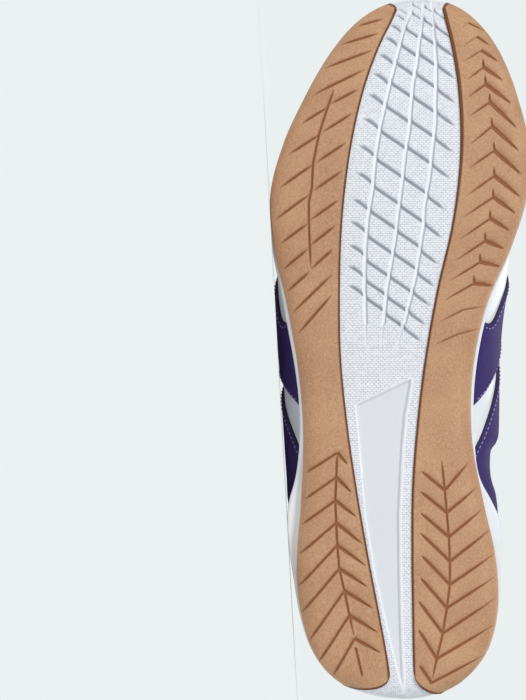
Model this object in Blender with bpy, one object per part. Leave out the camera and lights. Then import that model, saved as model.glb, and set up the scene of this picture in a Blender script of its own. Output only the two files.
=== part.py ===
"""Indoor soccer shoe for the right foot, lying on its lateral side.

Every form is worked out in the shoe's own frame: X towards the lateral side, Y from the heel to the toe,
Z up from the floor under the sole. At the end the whole shoe is turned onto its side, to the pose in which
it rests on the edge of its sole and on the side of its upper.
"""

import math

import bmesh
import bpy
import numpy as np
from mathutils import Matrix, Vector

LATERAL, MEDIAL = 1, -1
SIDES = (LATERAL, MEDIAL)

# Sizes of the sole, in metres
SOLE_LENGTH = 0.286
BALL_WIDTH = 0.1046
TOE_SPRING = 0.012
HEEL_BEVEL = 0.0025
ARCH_RISE = 0.0018
OUTSOLE_THICKNESS = 0.004
EDGE_RUN = 0.0085
EDGE_RISE = 0.0068
STRIP_SET_BACK = 0.0011
PAD_JOINT = 0.0007
WRAP_HEIGHT = 0.010
HEEL_STACK = 0.0225
FOREFOOT_STACK = 0.0155
HEEL_FLARE = 0.0049
HEEL_TAPER = 0.0045
RIM_THICKNESS = 0.0024
HEEL_RIM = 0.0085
FOREFOOT_RIM = 0.003
BEND_INSET = 0.006
CLEARANCE = 0.0003

# Sizes of the tread
LUG_GROOVE_WIDTH = 0.0022
LUG_GROOVE_DEPTH = 0.0014
CHANNEL_WIDTH = 0.0011
WINDOW_DEPTH = 0.0015
CHEVRON_WIDTH = 0.0016
CHEVRON_DEPTH = 0.0010
STRIP_GROOVES = 12
TREAD_START, TREAD_END = 0.525, 0.925
WINDOW_START, WINDOW_END = 0.075, 0.435
STRIP_BACK = 0.009
TIP_STEP = 0.0005

# Sizes of the upper
COLLAR_HEIGHT = 0.088
OPENING_HALF_WIDTH = 0.0315
UPPER_WALL = 0.0020
COLLAR_PADDING = 0.0045
SIDE_BULGE = 0.017
INSTEP_ROUND = 0.024
COLLAR_DROP = 0.026
SIDE_RISE = 0.024
SKIRT_OVER_RIM = 0.0006
OVERLAY_GAP = 0.0004
OVERLAY_THICKNESS = 0.0011
INSOLE_THICKNESS = 0.0045
TONGUE_THICKNESS = 0.0038
TONGUE_LENGTH_ABOVE_COLLAR = 0.024
TONGUE_GAP = 0.0012
EYELET_RADIUS = 0.0022
EYELETS_PER_SIDE = 6
LACE_WIDTH = 0.0065
LACE_THICKNESS = 0.0013

# Stations of the upper along its base, as shares from the heel, 0, to the toe, 1
COLLAR_CORNER = 0.47
VAMP_POINT = 0.715

# Levels of the upper's rows: under the rim, -1, its lower edge, 0, and its top edge, 1
LEVELS = (-1, 0, 0.08, 0.22, 0.40, 0.60, 0.78, 0.92, 1.0)

# The quarter panel between its back and front lines at the rim. A white wedge of the upper shows through a
# notch in it that narrows upwards. Lines lean forward going up, and less towards the heel.
PANEL_LINES = (0.103, 0.150, 0.200, 0.260, 0.320, 0.375, 0.425, 0.475, 0.524)
PANEL_LEVELS = (0.06, 0.20, 0.34, 0.48, 0.62)
PANEL_RISE = 0.14
PANEL_LEAN = 0.13
MEDIAL_NOTCH_LEAN = 0.045
NOTCH_LINES = (0.328, 0.405)
NOTCH_TOP = 0.50
NOTCH_TIP = 0.003
EYESTAY_LOW = 0.80
EYESTAY_HIGH = 0.99
EYESTAY_START, EYESTAY_END = 0.476, 0.775
COUNTER_LEVELS = (0.06, 0.18, 0.32, 0.46, 0.60)
COUNTER_END = 0.088
TOE_CAP_START = 0.86
TOE_CAP_TOP = 0.56
REGION_REACH = 0.004
TONGUE_LEVELS = (0.84, 0.90, 0.955)

# The part of the tongue above the collar's corner: shares of its length and of its width
TONGUE_RISE = (
    {"length": 0.40, "width": 0.74},
    {"length": 0.72, "width": 0.92},
    {"length": 0.92, "width": 0.97},
    {"length": 1.00, "width": 0.80},
)
# The way in which it rises, the way into the shoe there, and how it is narrowed to fit under the eyestay
RISE_DIRECTION = np.array((0.0, -0.60, 0.80))
RISE_INWARD = np.array((0.0, -0.80, -0.60))
TONGUE_PINCH = np.array((0.86, 1.0, 1.0))

# Weights that place the shoe at rest: typical densities in kilograms per cubic metre
RUBBER_DENSITY = 1200
FOAM_DENSITY = 300
LEATHER_DENSITY = 900
DENSITIES = {
    "outsole": RUBBER_DENSITY,
    "midsole": FOAM_DENSITY,
    "insole": FOAM_DENSITY,
    "upper": LEATHER_DENSITY,
    "tongue": LEATHER_DENSITY,
    "eyestay": LEATHER_DENSITY,
    "quarter": LEATHER_DENSITY,
    "heel": LEATHER_DENSITY,
    "toe": LEATHER_DENSITY,
    "lace": FOAM_DENSITY,
}

WELD = 1e-6


def turn_of(station):
    """The angle of a station along the shoe: 0 at the heel's tip and pi at the toe's tip."""
    return math.acos(min(1.0, max(-1.0, 1 - 2 * station)))


def station_of(turn):
    return (1 - math.cos(turn)) / 2


def blend(low, high, share):
    """0 up to low, 1 from high, and a smooth rise between them."""
    t = min(1.0, max(0.0, (share - low) / (high - low)))
    return t * t * (3 - 2 * t)


def curve_through(xs, ys, x):
    """A smooth curve through the points, made of cubics whose slopes come from the neighbours."""
    steps = np.diff(xs)
    rates = np.diff(ys) / steps
    slopes = np.empty(len(xs))
    slopes[1:-1] = (rates[:-1] * steps[1:] + rates[1:] * steps[:-1]) / (steps[1:] + steps[:-1])
    slopes[0], slopes[-1] = rates[0], rates[-1]
    i = int(np.clip(np.searchsorted(xs, x, side="right") - 1, 0, len(xs) - 2))
    t = float(np.clip((x - xs[i]) / steps[i], 0, 1))
    start, end = ys[i], ys[i + 1]
    bend_start, bend_end = slopes[i] * steps[i], slopes[i + 1] * steps[i]
    return (
        start * (1 + 2 * t) * (1 - t) ** 2
        + bend_start * t * (1 - t) ** 2
        + end * t * t * (3 - 2 * t)
        + bend_end * t * t * (t - 1)
    )


class Sections:
    """A short table of sections from heel to toe, read smoothly at any turn."""

    def __init__(self, names, rows):
        self.names = names
        self.turns = np.array([turn_of(row[0]) for row in rows])
        self.columns = {name: np.array([row[i] for row in rows], float) for i, name in enumerate(names)}

    def at(self, name, turn):
        return curve_through(self.turns, self.columns[name], turn)


# Half widths of the outsole from the shoe's axis, as shares of the ball width
OUTLINE = Sections(
    ("station", "lateral", "medial"),
    (
        (0.000, -0.031, 0.031),
        (0.030, 0.243, 0.263),
        (0.076, 0.337, 0.357),
        (0.122, 0.373, 0.388),
        (0.168, 0.390, 0.391),
        (0.214, 0.388, 0.376),
        (0.283, 0.374, 0.333),
        (0.374, 0.365, 0.290),
        (0.466, 0.384, 0.294),
        (0.558, 0.427, 0.345),
        (0.650, 0.482, 0.450),
        (0.715, 0.494, 0.504),
        (0.788, 0.445, 0.511),
        (0.856, 0.361, 0.470),
        (0.925, 0.251, 0.397),
        (0.971, 0.137, 0.302),
        (0.992, 0.035, 0.215),
        (1.000, -0.092, 0.092),
    ),
)

# Where each gum pad ends at the white strip, from the shoe's axis, as shares of the ball width
PAD_INNER_EDGE = Sections(
    ("station", "lateral", "medial"),
    (
        (0.000, 0.030, 0.075),
        (0.053, 0.036, 0.059),
        (0.122, 0.070, 0.055),
        (0.214, 0.118, 0.052),
        (0.306, 0.161, 0.055),
        (0.397, 0.196, 0.075),
        (0.489, 0.220, 0.106),
        (0.581, 0.224, 0.150),
        (0.673, 0.216, 0.208),
        (0.765, 0.189, 0.239),
        (0.857, 0.137, 0.236),
        (0.948, 0.047, 0.200),
        (1.000, -0.010, 0.170),
    ),
)

# The stations where each pad starts at the heel and ends at the toe, at its inner edge and on the outline
PAD_ENDS = {
    LATERAL: {"inner": (0.034, 0.970), "outer": (0.014, 0.986)},
    MEDIAL: {"inner": (0.045, 0.968), "outer": (0.011, 0.984)},
}

# Where the spine of each pad's chevrons runs, as a share of the way from its inner edge to the outline
SPINE = Sections(
    ("station", "lateral", "medial"),
    (
        (0.00, 0.40, 0.34),
        (0.12, 0.50, 0.46),
        (0.28, 0.30, 0.46),
        (0.55, 0.55, 0.48),
        (0.75, 0.50, 0.46),
        (0.90, 0.42, 0.42),
        (1.00, 0.40, 0.40),
    ),
)

# The side of the midsole: how far it stands out past the gum, its taper, and the height of the gum
SIDEWALL = Sections(
    ("station", "flare_lateral", "flare_medial", "taper", "wrap"),
    (
        (0.000, 0.00, 0.00, 0.80, 0.95),
        (0.122, 0.12, 0.12, 0.90, 0.85),
        (0.168, 0.22, 0.22, 0.95, 0.82),
        (0.214, 0.67, 0.57, 1.00, 0.78),
        (0.254, 1.00, 1.00, 1.00, 0.74),
        (0.283, 0.95, 0.65, 0.75, 0.72),
        (0.306, 0.62, 0.22, 0.50, 0.70),
        (0.374, 0.20, 0.18, 0.15, 0.70),
        (0.558, 0.20, 0.20, 0.15, 0.85),
        (0.650, 0.05, 0.08, 0.20, 1.00),
        (0.720, -0.15, -0.15, 0.25, 1.05),
        (1.000, -0.15, -0.15, 0.25, 0.95),
    ),
)

# The top line and the profile of the upper at stations along its base.
# top_y is a share of the sole's length, top_z of the collar height, half of the opening's half width,
# high of the instep round, drop of the collar drop, the lows of the side bulge and rise of the side rise.
UPPER = Sections(
    ("station", "top_y", "top_z", "half", "high", "drop", "low_lateral", "low_medial", "rise"),
    (
        (0.000, 0.036, 1.000, 0.000, 0.06, 1.00, 0.20, 0.20, 0.85),
        (0.030, 0.052, 0.994, 0.560, 0.08, 1.00, 0.18, 0.18, 0.85),
        (0.080, 0.100, 0.950, 0.840, 0.12, 0.95, 0.18, 0.22, 0.85),
        (0.160, 0.178, 0.850, 0.970, 0.20, 0.85, 0.24, 0.46, 0.80),
        (0.260, 0.268, 0.785, 1.000, 0.28, 0.78, 0.55, 1.00, 0.72),
        (0.350, 0.352, 0.840, 0.940, 0.36, 0.78, 1.00, 1.50, 0.72),
        (0.420, 0.415, 0.965, 0.740, 0.55, 0.70, 1.22, 1.72, 0.86),
        (0.470, 0.455, 1.020, 0.520, 0.72, 0.55, 1.28, 1.78, 0.96),
        (0.530, 0.512, 0.970, 0.440, 0.84, 0.40, 1.15, 1.60, 0.98),
        (0.600, 0.575, 0.870, 0.410, 0.92, 0.31, 0.80, 1.25, 0.88),
        (0.660, 0.630, 0.795, 0.360, 0.95, 0.25, 0.44, 0.70, 0.72),
        (0.700, 0.664, 0.754, 0.210, 0.97, 0.14, 0.32, 0.42, 0.60),
        (0.715, 0.676, 0.741, 0.000, 0.98, 0.08, 0.26, 0.32, 0.56),
        (0.760, 0.712, 0.706, 0.000, 0.96, 0.03, 0.14, 0.14, 0.48),
        (0.820, 0.758, 0.664, 0.000, 0.92, 0.00, 0.14, 0.14, 0.50),
        (0.880, 0.802, 0.627, 0.000, 0.84, 0.00, 0.14, 0.14, 0.54),
        (0.940, 0.848, 0.592, 0.000, 0.72, 0.00, 0.15, 0.15, 0.58),
        (0.980, 0.880, 0.566, 0.000, 0.62, 0.00, 0.16, 0.16, 0.60),
        (1.000, 0.890, 0.558, 0.000, 0.60, 0.00, 0.16, 0.16, 0.60),
    ),
)

# The sideways place of the upper's ridge, as a share of the ball width, along shares of the sole's length
RIDGE_PLACES = (0.00, 0.10, 0.25, 0.40, 0.55, 0.68, 0.80, 0.90)
RIDGE_OFFSETS = (-0.010, 0.000, 0.012, 0.006, -0.012, -0.036, -0.062, -0.080)


def side_name(side):
    return "lateral" if side == LATERAL else "medial"


def outline_point(side, turn):
    """A point of the outsole's plan outline."""
    x = side * BALL_WIDTH * OUTLINE.at(side_name(side), turn)
    return np.array((x, SOLE_LENGTH * station_of(turn)))


def outline_normal(side, turn):
    """The outward direction of the outline in plan."""
    step = 0.004
    low, high = max(0.0, turn - step), min(math.pi, turn + step)
    along = outline_point(side, high) - outline_point(side, low)
    if turn < step or turn > math.pi - step:
        along[1] = 0.0
    along /= np.linalg.norm(along)
    return side * np.array((along[1], -along[0]))


def outline_loop(count):
    """The whole outline as a closed loop of points, from the heel up the lateral side and back."""
    turns = np.linspace(0, math.pi, count)
    up = [outline_point(LATERAL, t) for t in turns]
    back = [outline_point(MEDIAL, t) for t in turns[-2:0:-1]]
    return np.array(up + back)


OUTLINE_LOOP = outline_loop(121)


def distance_to_outline(point):
    """How far inside the outline a plan point lies."""
    start = OUTLINE_LOOP
    run = np.roll(OUTLINE_LOOP, -1, axis=0) - start
    offset = np.asarray(point) - start
    share = np.clip((offset * run).sum(1) / (run * run).sum(1), 0, 1)
    return float(np.linalg.norm(offset - share[:, None] * run, axis=1).min())


def ground(y, arch=True):
    """The height of the tread's lowest skin above the floor: toe spring, arch and the bevel of the heel."""
    share = y / SOLE_LENGTH
    spring = TOE_SPRING * max(0.0, (share - 0.70) / 0.30) ** 2.1
    bevel = HEEL_BEVEL * max(0.0, (0.06 - share) / 0.06) ** 2
    middle = max(0.0, math.sin(math.pi * (share - 0.27) / 0.31)) ** 2 if 0.27 < share < 0.58 else 0.0
    return spring + bevel + (ARCH_RISE * middle if arch else 0.0)


def shell_height(distance, depth):
    """The height above the ground line of the surface that lies depth inside the outsole's outer skin."""
    run, rise = EDGE_RUN - depth, EDGE_RISE - depth
    share = min(1.0, max(0.0, (EDGE_RUN - distance) / run))
    return depth + rise * (1 - math.sqrt(1 - share * share))


def wrap_height(turn):
    return WRAP_HEIGHT * SIDEWALL.at("wrap", turn)


def footbed_height(y):
    """The height of the midsole's top, where the upper and the insole sit."""
    share = y / SOLE_LENGTH
    stack = HEEL_STACK + (FOREFOOT_STACK - HEEL_STACK) * blend(0.22, 0.62, share)
    return ground(y, arch=False) + stack


def rim_height(turn):
    return HEEL_RIM + (FOREFOOT_RIM - HEEL_RIM) * blend(0.20, 0.36, station_of(turn))


def sidewall_point(side, turn, inset):
    """A plan point on the midsole's side, inset from its widest line."""
    flare = HEEL_FLARE * SIDEWALL.at("flare_" + side_name(side), turn)
    return outline_point(side, turn) + outline_normal(side, turn) * (flare - inset)


def rim_inset(turn):
    """How far the rim's inner face lies inside the midsole's widest line."""
    return HEEL_TAPER * SIDEWALL.at("taper", turn) + RIM_THICKNESS


def with_height(point, z):
    return np.array((point[0], point[1], z))


def new_object(name, mesh_data, material):
    mesh = bpy.data.meshes.new(name)
    mesh_data.to_mesh(mesh)
    mesh_data.free()
    if material:
        mesh.materials.append(material)
    made = bpy.data.objects.new(name, mesh)
    bpy.context.scene.collection.objects.link(made)
    mesh.shade_smooth()
    mesh.set_sharp_from_angle(angle=math.radians(35))
    return made


def add_grid(bm, rows):
    """Quads over a grid of points."""
    made = [[bm.verts.new(p) for p in row] for row in rows]
    for low, high in zip(made, made[1:]):
        for a, b, c, d in zip(low, low[1:], high[1:], high):
            bm.faces.new((a, b, c, d))


def weld_shut(bm):
    """Joins points that coincide and turns every face outwards."""
    bmesh.ops.remove_doubles(bm, verts=bm.verts, dist=WELD)
    bmesh.ops.dissolve_degenerate(bm, dist=WELD, edges=bm.edges)
    bmesh.ops.recalc_face_normals(bm, faces=bm.faces)


def loft_closed_sections(sections):
    """A closed solid through closed sections, with a cap on the first and the last."""
    bm = bmesh.new()
    rings = [[bm.verts.new(p) for p in section] for section in sections]
    count = len(rings[0])
    for low, high in zip(rings, rings[1:]):
        for i in range(count):
            j = (i + 1) % count
            bm.faces.new((low[i], low[j], high[j], high[i]))
    bm.faces.new(rings[0][::-1])
    bm.faces.new(rings[-1])
    weld_shut(bm)
    bmesh.ops.triangulate(bm, faces=bm.faces)
    return bm


def loft_rings(rings):
    """A closed solid through rings that run round the shoe. Each ring is {side: points from heel to toe}.
    The first and last rings are closed by bands from side to side."""
    bm = bmesh.new()
    for side in SIDES:
        add_grid(bm, [ring[side] for ring in rings])
    for ring in (rings[0], rings[-1]):
        add_grid(bm, [ring[LATERAL], ring[MEDIAL]])
    weld_shut(bm)
    return bm


def thickened(surface_grids, outer, inner):
    """A closed solid from an open surface: copies moved outwards and inwards, and walls between their edges.
    Each grid holds points, and outer and inner hold how far each point moves along the surface's normal."""
    bm = bmesh.new()
    moves = []
    for grid, out_moves, in_moves in zip(surface_grids, outer, inner):
        add_grid(bm, grid)
        moves += [m for row_out, row_in in zip(out_moves, in_moves) for m in zip(row_out, row_in)]
    out_layer = bm.verts.layers.float.new("out")
    in_layer = bm.verts.layers.float.new("in")
    for vert, (out_move, in_move) in zip(bm.verts, moves):
        vert[out_layer], vert[in_layer] = out_move, in_move
    bmesh.ops.remove_doubles(bm, verts=bm.verts, dist=WELD)
    bmesh.ops.dissolve_degenerate(bm, dist=WELD, edges=bm.edges)
    bmesh.ops.triangulate(bm, faces=bm.faces, quad_method="SHORT_EDGE")
    bmesh.ops.recalc_face_normals(bm, faces=bm.faces)
    bm.normal_update()
    inside = Vector((0, SOLE_LENGTH / 2, COLLAR_HEIGHT / 3))
    if sum(f.calc_area() * f.normal.dot(f.calc_center_median() - inside) for f in bm.faces) < 0:
        bmesh.ops.reverse_faces(bm, faces=bm.faces)
    bm.normal_update()
    bm.verts.index_update()
    solid = bmesh.new()
    outside = [solid.verts.new(v.co + v.normal * v[out_layer]) for v in bm.verts]
    inside = [solid.verts.new(v.co + v.normal * v[in_layer]) for v in bm.verts]
    for face in bm.faces:
        corners = [v.index for v in face.verts]
        solid.faces.new([outside[i] for i in corners])
        solid.faces.new([inside[i] for i in reversed(corners)])
    for edge in bm.edges:
        if edge.is_boundary:
            a, b = (v.index for v in edge.verts)
            solid.faces.new((outside[a], outside[b], inside[b], inside[a]))
    bm.free()
    bmesh.ops.recalc_face_normals(solid, faces=solid.faces)
    return solid


def material(name, colour, roughness):
    """A Principled material with a plain colour, given as linear red, green and blue."""
    made = bpy.data.materials.new(name)
    made.use_nodes = True
    shader = made.node_tree.nodes["Principled BSDF"]
    shader.inputs["Base Color"].default_value = (*colour, 1.0)
    shader.inputs["Roughness"].default_value = roughness
    made.diffuse_color = (*colour, 1.0)
    return made


def pad_turns(side):
    """The turns of a pad's sections at its inner edge and on the outline, with three for each groove."""
    ends = PAD_ENDS[side]
    inner = [turn_of(s) for s in ends["inner"]]
    outer = [turn_of(s) for s in ends["outer"]]
    return inner, outer


# Groove families of a pad: the share of its length where they start and end, their number, and how far
# they lean back on the inner and the outer side of the spine, as a slope
PAD_GROOVES = {
    LATERAL: (
        {"start": 0.060, "end": 0.370, "count": 7, "inner_lean": 0.8, "outer_lean": 0.9},
        {"start": 0.560, "end": 0.940, "count": 10, "inner_lean": -0.6, "outer_lean": 0.6},
    ),
    MEDIAL: (
        {"start": 0.060, "end": 0.350, "count": 7, "inner_lean": -0.9, "outer_lean": -0.7},
        {"start": 0.520, "end": 0.915, "count": 10, "inner_lean": 0.6, "outer_lean": 0.45},
    ),
}


def pad_marks(side):
    """The places along a pad where it has a section, as (share of its length, depth share, leans)."""
    half = CHEVRON_WIDTH / 2 / SOLE_LENGTH
    marks = [(0.0, 0, 0, 0), (0.015, 0, 0, 0), (0.035, 0, 0, 0)]
    for family in PAD_GROOVES[side]:
        for i in range(family["count"]):
            share = i / (family["count"] - 1)
            place = family["start"] + share * (family["end"] - family["start"])
            fade = min(1.0, 0.35 + 3 * min(share, 1 - share))
            leans = (fade * family["inner_lean"], fade * family["outer_lean"])
            marks += [(place - half, 0, *leans), (place, 1, *leans), (place + half, 0, *leans)]
        if family is PAD_GROOVES[side][0]:
            gap = PAD_GROOVES[side][1]["start"] - family["end"]
            marks += [(family["end"] + gap * s, 0, 0, 0) for s in (0.25, 0.5, 0.75)]
    marks += [(0.97, 0, 0, 0), (0.985, 0, 0, 0), (1.0, 0, 0, 0)]
    return marks


def pad_edges(side, share):
    """The inner edge's plan point and the outline's turn at a share of a pad's length."""
    (inner_start, inner_end), (outer_start, outer_end) = PAD_ENDS[side]["inner"], PAD_ENDS[side]["outer"]
    inner_station = inner_start + share * (inner_end - inner_start)
    outer_station = outer_start + share * (outer_end - outer_start)
    inner_x = side * BALL_WIDTH * PAD_INNER_EDGE.at(side_name(side), turn_of(inner_station))
    return np.array((inner_x, SOLE_LENGTH * inner_station)), turn_of(min(1.0, max(0.0, outer_station)))


def pad_section(side, mark):
    """One closed section of a gum pad's block: the tread from the inner edge to the outline, and the wall."""
    share, depth, inner_lean, outer_lean = mark
    spine = SPINE.at(side_name(side), turn_of(share))
    inner, outer_turn = pad_edges(side, share)
    width = np.linalg.norm(outline_point(side, outer_turn) - inner)
    edge = max(0.55, 1 - EDGE_RUN / width)

    def share_at(at):
        lean = inner_lean if at < spine else outer_lean
        return min(1.0, max(0.0, share - lean * abs(at - spine) * width / SOLE_LENGTH))

    def across(at):
        inner, outer_turn = pad_edges(side, share_at(at))
        return inner + (outline_point(side, outer_turn) - inner) * at

    tread = []
    for at, cut in ((0.0, 0), (0.10, 0.6), (spine, 1), (edge, 0.8), (1 - (1 - edge) * 0.35, 0)):
        point = across(at)
        z = ground(point[1]) + shell_height(distance_to_outline(point), 0.0)
        tread.append(with_height(point, z + CHEVRON_DEPTH * depth * cut))
    _, wall_turn = pad_edges(side, share_at(1.0))
    wall = outline_point(side, wall_turn)
    low = ground(wall[1])
    return [
        *tread,
        with_height(wall, low + EDGE_RISE),
        with_height(wall, low + wrap_height(wall_turn)),
        with_height(across(0.0), low + wrap_height(wall_turn)),
    ]


def pad_envelope(side):
    """A plain block round a pad, wider by the joint, that keeps the strip clear of it."""
    sections = []
    for share in np.linspace(0, 1, 21):
        inner, turn = pad_edges(side, share)
        outer = outline_point(side, turn)
        across = (outer - inner) / np.linalg.norm(outer - inner)
        along = np.array((-across[1], across[0])) * side
        end = along * PAD_JOINT * (1 if share == 1 else -1 if share == 0 else 0)
        inner = inner - across * PAD_JOINT + end
        outer = outer + across * BEND_INSET + end
        corners = ((inner, -0.01), (outer, -0.01), (outer, 0.04), (inner, 0.04))
        sections.append([with_height(point, z) for point, z in corners])
    return new_object("cutter_" + side_name(side), loft_closed_sections(sections), None)


def core():
    """What lies inside the outsole: its lower skin is the outsole's back. The midsole has the same skin, set
    off by the clearance."""
    rings = [{side: [] for side in SIDES} for _ in range(4)]
    for side in SIDES:
        for turn in column_turns():
            points = recess_points(side, turn, OUTSOLE_THICKNESS)
            outer, normal = outline_point(side, turn), outline_normal(side, turn)
            points.append(with_height(outer - normal * OUTSOLE_THICKNESS, ground(outer[1]) + 0.04))
            for ring, point in zip(rings, points):
                ring[side].append(point)
    return new_object("cutter_core", loft_rings(rings), None)


def recess_points(side, turn, depth):
    """The skin at a depth inside the outsole, from under the shoe to its side."""
    outer, normal = outline_point(side, turn), outline_normal(side, turn)
    points = []
    for inset in (EDGE_RUN, BEND_INSET):
        point = outer - normal * inset
        points.append(with_height(point, ground(point[1]) + shell_height(inset, depth)))
    points.append(with_height(outer - normal * depth, ground(outer[1]) + EDGE_RISE))
    return points


def cut(made, cutters, operation="DIFFERENCE"):
    """Cuts the cutters out of an object, or keeps what is inside them."""
    for cutter in cutters:
        modifier = made.modifiers.new(cutter.name, "BOOLEAN")
        modifier.operation = operation
        modifier.solver = "EXACT"
        modifier.object = cutter
        cutter.hide_render = True
        cutter.display_type = "WIRE"


def make_pad(side, gum, core_cutter):
    sections = [pad_section(side, mark) for mark in pad_marks(side)]
    pad = new_object("outsole_pad_" + side_name(side), loft_closed_sections(sections), gum)
    cut(pad, [core_cutter])


# Where the three channels of the strip's tread run, from the lateral edge, 0, to the medial edge, 1,
# the two sides of the smooth window under the arch and heel, and the slope of the cross grooves
STRIP_LINES = Sections(
    ("station", "first", "second", "third", "window_left", "window_right", "lean"),
    (
        (0.00, 0.30, 0.50, 0.70, 0.40, 0.52, 0.00),
        (0.05, 0.30, 0.50, 0.70, 0.40, 0.58, 0.00),
        (0.20, 0.28, 0.50, 0.72, 0.30, 0.76, 0.00),
        (0.30, 0.28, 0.50, 0.72, 0.22, 0.80, -0.10),
        (0.42, 0.27, 0.50, 0.73, 0.14, 0.86, -0.42),
        (0.46, 0.27, 0.50, 0.73, 0.14, 0.88, -0.42),
        (0.52, 0.26, 0.50, 0.73, 0.20, 0.80, 0.30),
        (0.60, 0.25, 0.49, 0.73, 0.25, 0.75, 0.62),
        (0.80, 0.25, 0.52, 0.75, 0.25, 0.75, 0.62),
        (0.92, 0.32, 0.55, 0.75, 0.25, 0.75, 0.38),
        (1.00, 0.40, 0.57, 0.72, 0.25, 0.75, -0.10),
    ),
)


def strip_side_point(side, station):
    """A plan point on the edge of the strip's block, which reaches a little past the edge of the pad."""
    past = 0.0008 + 0.004 * (blend(0.07, 0.03, station) if station < 0.5 else blend(0.92, 0.96, station))
    x = side * (BALL_WIDTH * PAD_INNER_EDGE.at(side_name(side), turn_of(station)) + past)
    return np.array((x, SOLE_LENGTH * station))


def tip_arc(toe, count):
    """Points round a tip of the outline, from past the lateral pad's end to past the medial pad's end."""
    index = 1 if toe else 0
    tip = math.pi if toe else 0.0
    arc = []
    for side in SIDES:
        end = turn_of(PAD_ENDS[side]["outer"][index]) + (-0.06 if toe else 0.06)
        points = [(outline_point(side, t), outline_normal(side, t), t) for t in np.linspace(end, tip, 20)]
        arc = points if side == LATERAL else arc + points[-2::-1]
    lengths = np.cumsum([0] + [np.linalg.norm(b[0] - a[0]) for a, b in zip(arc, arc[1:])])
    return [arc[int(np.abs(lengths - place).argmin())] for place in np.linspace(0, lengths[-1], count)]


def strip_crossings(station):
    """Shares across the strip of its grid lines, and whether a channel or the window cuts each of them."""
    turn = turn_of(station)
    width = np.linalg.norm(strip_side_point(LATERAL, station) - strip_side_point(MEDIAL, station))
    half = CHANNEL_WIDTH / 2 / width
    tread = blend(0.47, 0.53, station)
    left, right = STRIP_LINES.at("window_left", turn), STRIP_LINES.at("window_right", turn)
    wall = min(0.02, (right - left) * 0.2)
    first, second, third = (STRIP_LINES.at(n, turn) for n in ("first", "second", "third"))
    channels = (0, first - half, first, first + half, second - half, second, second + half)
    channels += (third - half, third, third + half, 1)
    step = (right - left) / 8
    window = (0, left - wall, left + wall, left + step, left + 3 * step, left + 4 * step, left + 5 * step)
    window += (right - step, right - wall, right + wall, 1)
    in_window = (0, 0, 1, 1, 1, 1, 1, 1, 1, 0, 0)
    in_channel = (0, 0, 1, 0, 0, 1, 0, 0, 1, 0, 0)
    lines = [c * tread + w * (1 - tread) for c, w in zip(channels, window)]
    return lines, in_channel, in_window, tread


def strip_stations():
    """The strip's cross lines as (station, groove depth share), close together where a groove crosses."""
    half = LUG_GROOVE_WIDTH / 2 / SOLE_LENGTH
    wall = 0.004
    marks = [(0.048, 0), (WINDOW_START - wall, 0), (WINDOW_START + wall, 0), (0.13, 0), (0.20, 0), (0.28, 0)]
    marks += [(0.36, 0), (WINDOW_END - wall, 0), (WINDOW_END + wall, 0), (0.475, 0), (0.505, 0)]
    for i in range(STRIP_GROOVES):
        share = i / (STRIP_GROOVES - 1)
        place = TREAD_START + (TREAD_END - TREAD_START) * (share + 0.10 * share * (1 - share))
        marks += [(place - half, 0), (place, 1), (place + half, 0)]
    return marks + [(0.948, 0)]


def strip_tip_rows(toe):
    """Rows of the strip's block round a tip: the wall's top, its foot, and the bend under the shoe."""
    arc = tip_arc(toe, 11)
    back = [with_height(p - n * BEND_INSET, ground(p[1]) + wrap_height(t)) for p, n, t in arc]
    rows = []
    for height in (wrap_height, lambda turn: EDGE_RISE):
        outer = [with_height(p - n * STRIP_SET_BACK, ground(p[1]) + height(t)) for p, n, t in arc]
        rows.append((outer, back))
    inset = EDGE_RUN * 0.45
    bend = [p - n * inset for p, n, _ in arc]
    outer = [with_height(p, ground(p[1]) + shell_height(inset, STRIP_SET_BACK)) for p in bend]
    rows.append((outer, [point - np.array((0, 0, TIP_STEP)) for point in back]))
    return rows


def strip_bottom_rows():
    """Rows of the strip's block under the shoe, from heel to toe."""
    rows = []
    for station, groove in strip_stations():
        lines, in_channel, in_window, tread = strip_crossings(station)
        lean = STRIP_LINES.at("lean", turn_of(station))
        low, high = strip_side_point(LATERAL, station), strip_side_point(MEDIAL, station)
        width = np.linalg.norm(high - low)
        outer = []
        windowed = WINDOW_START < station < WINDOW_END
        for share, channel, window in zip(lines, in_channel, in_window):
            shifted = station - lean * (share - 0.5) * width / SOLE_LENGTH
            left, right = strip_side_point(LATERAL, shifted), strip_side_point(MEDIAL, shifted)
            point = left + (right - left) * share
            z = ground(point[1]) + shell_height(distance_to_outline(point), STRIP_SET_BACK)
            cut_depth = 0.0
            if tread > 0.5:
                channel_depth = 0.7 * channel * blend(0.50, 0.54, station)
                cut_depth = LUG_GROOVE_DEPTH * max(channel_depth, groove * (0 < share < 1))
            elif windowed and window:
                cut_depth = WINDOW_DEPTH
            outer.append(with_height(point, z + cut_depth))
        back = [with_height(p, ground(p[1]) + STRIP_BACK) for p in outer]
        rows.append((outer, back))
    return rows


def make_strip(white_rubber, cutters):
    """The white strip between the pads: a block cut by the pads' envelopes and by the core."""
    rows = strip_tip_rows(False) + strip_bottom_rows() + strip_tip_rows(True)[::-1]
    sections = [[*outer, back[-1], back[0]] for outer, back in rows]
    strip = new_object("outsole_strip", loft_closed_sections(sections), white_rubber)
    cut(strip, cutters)


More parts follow.
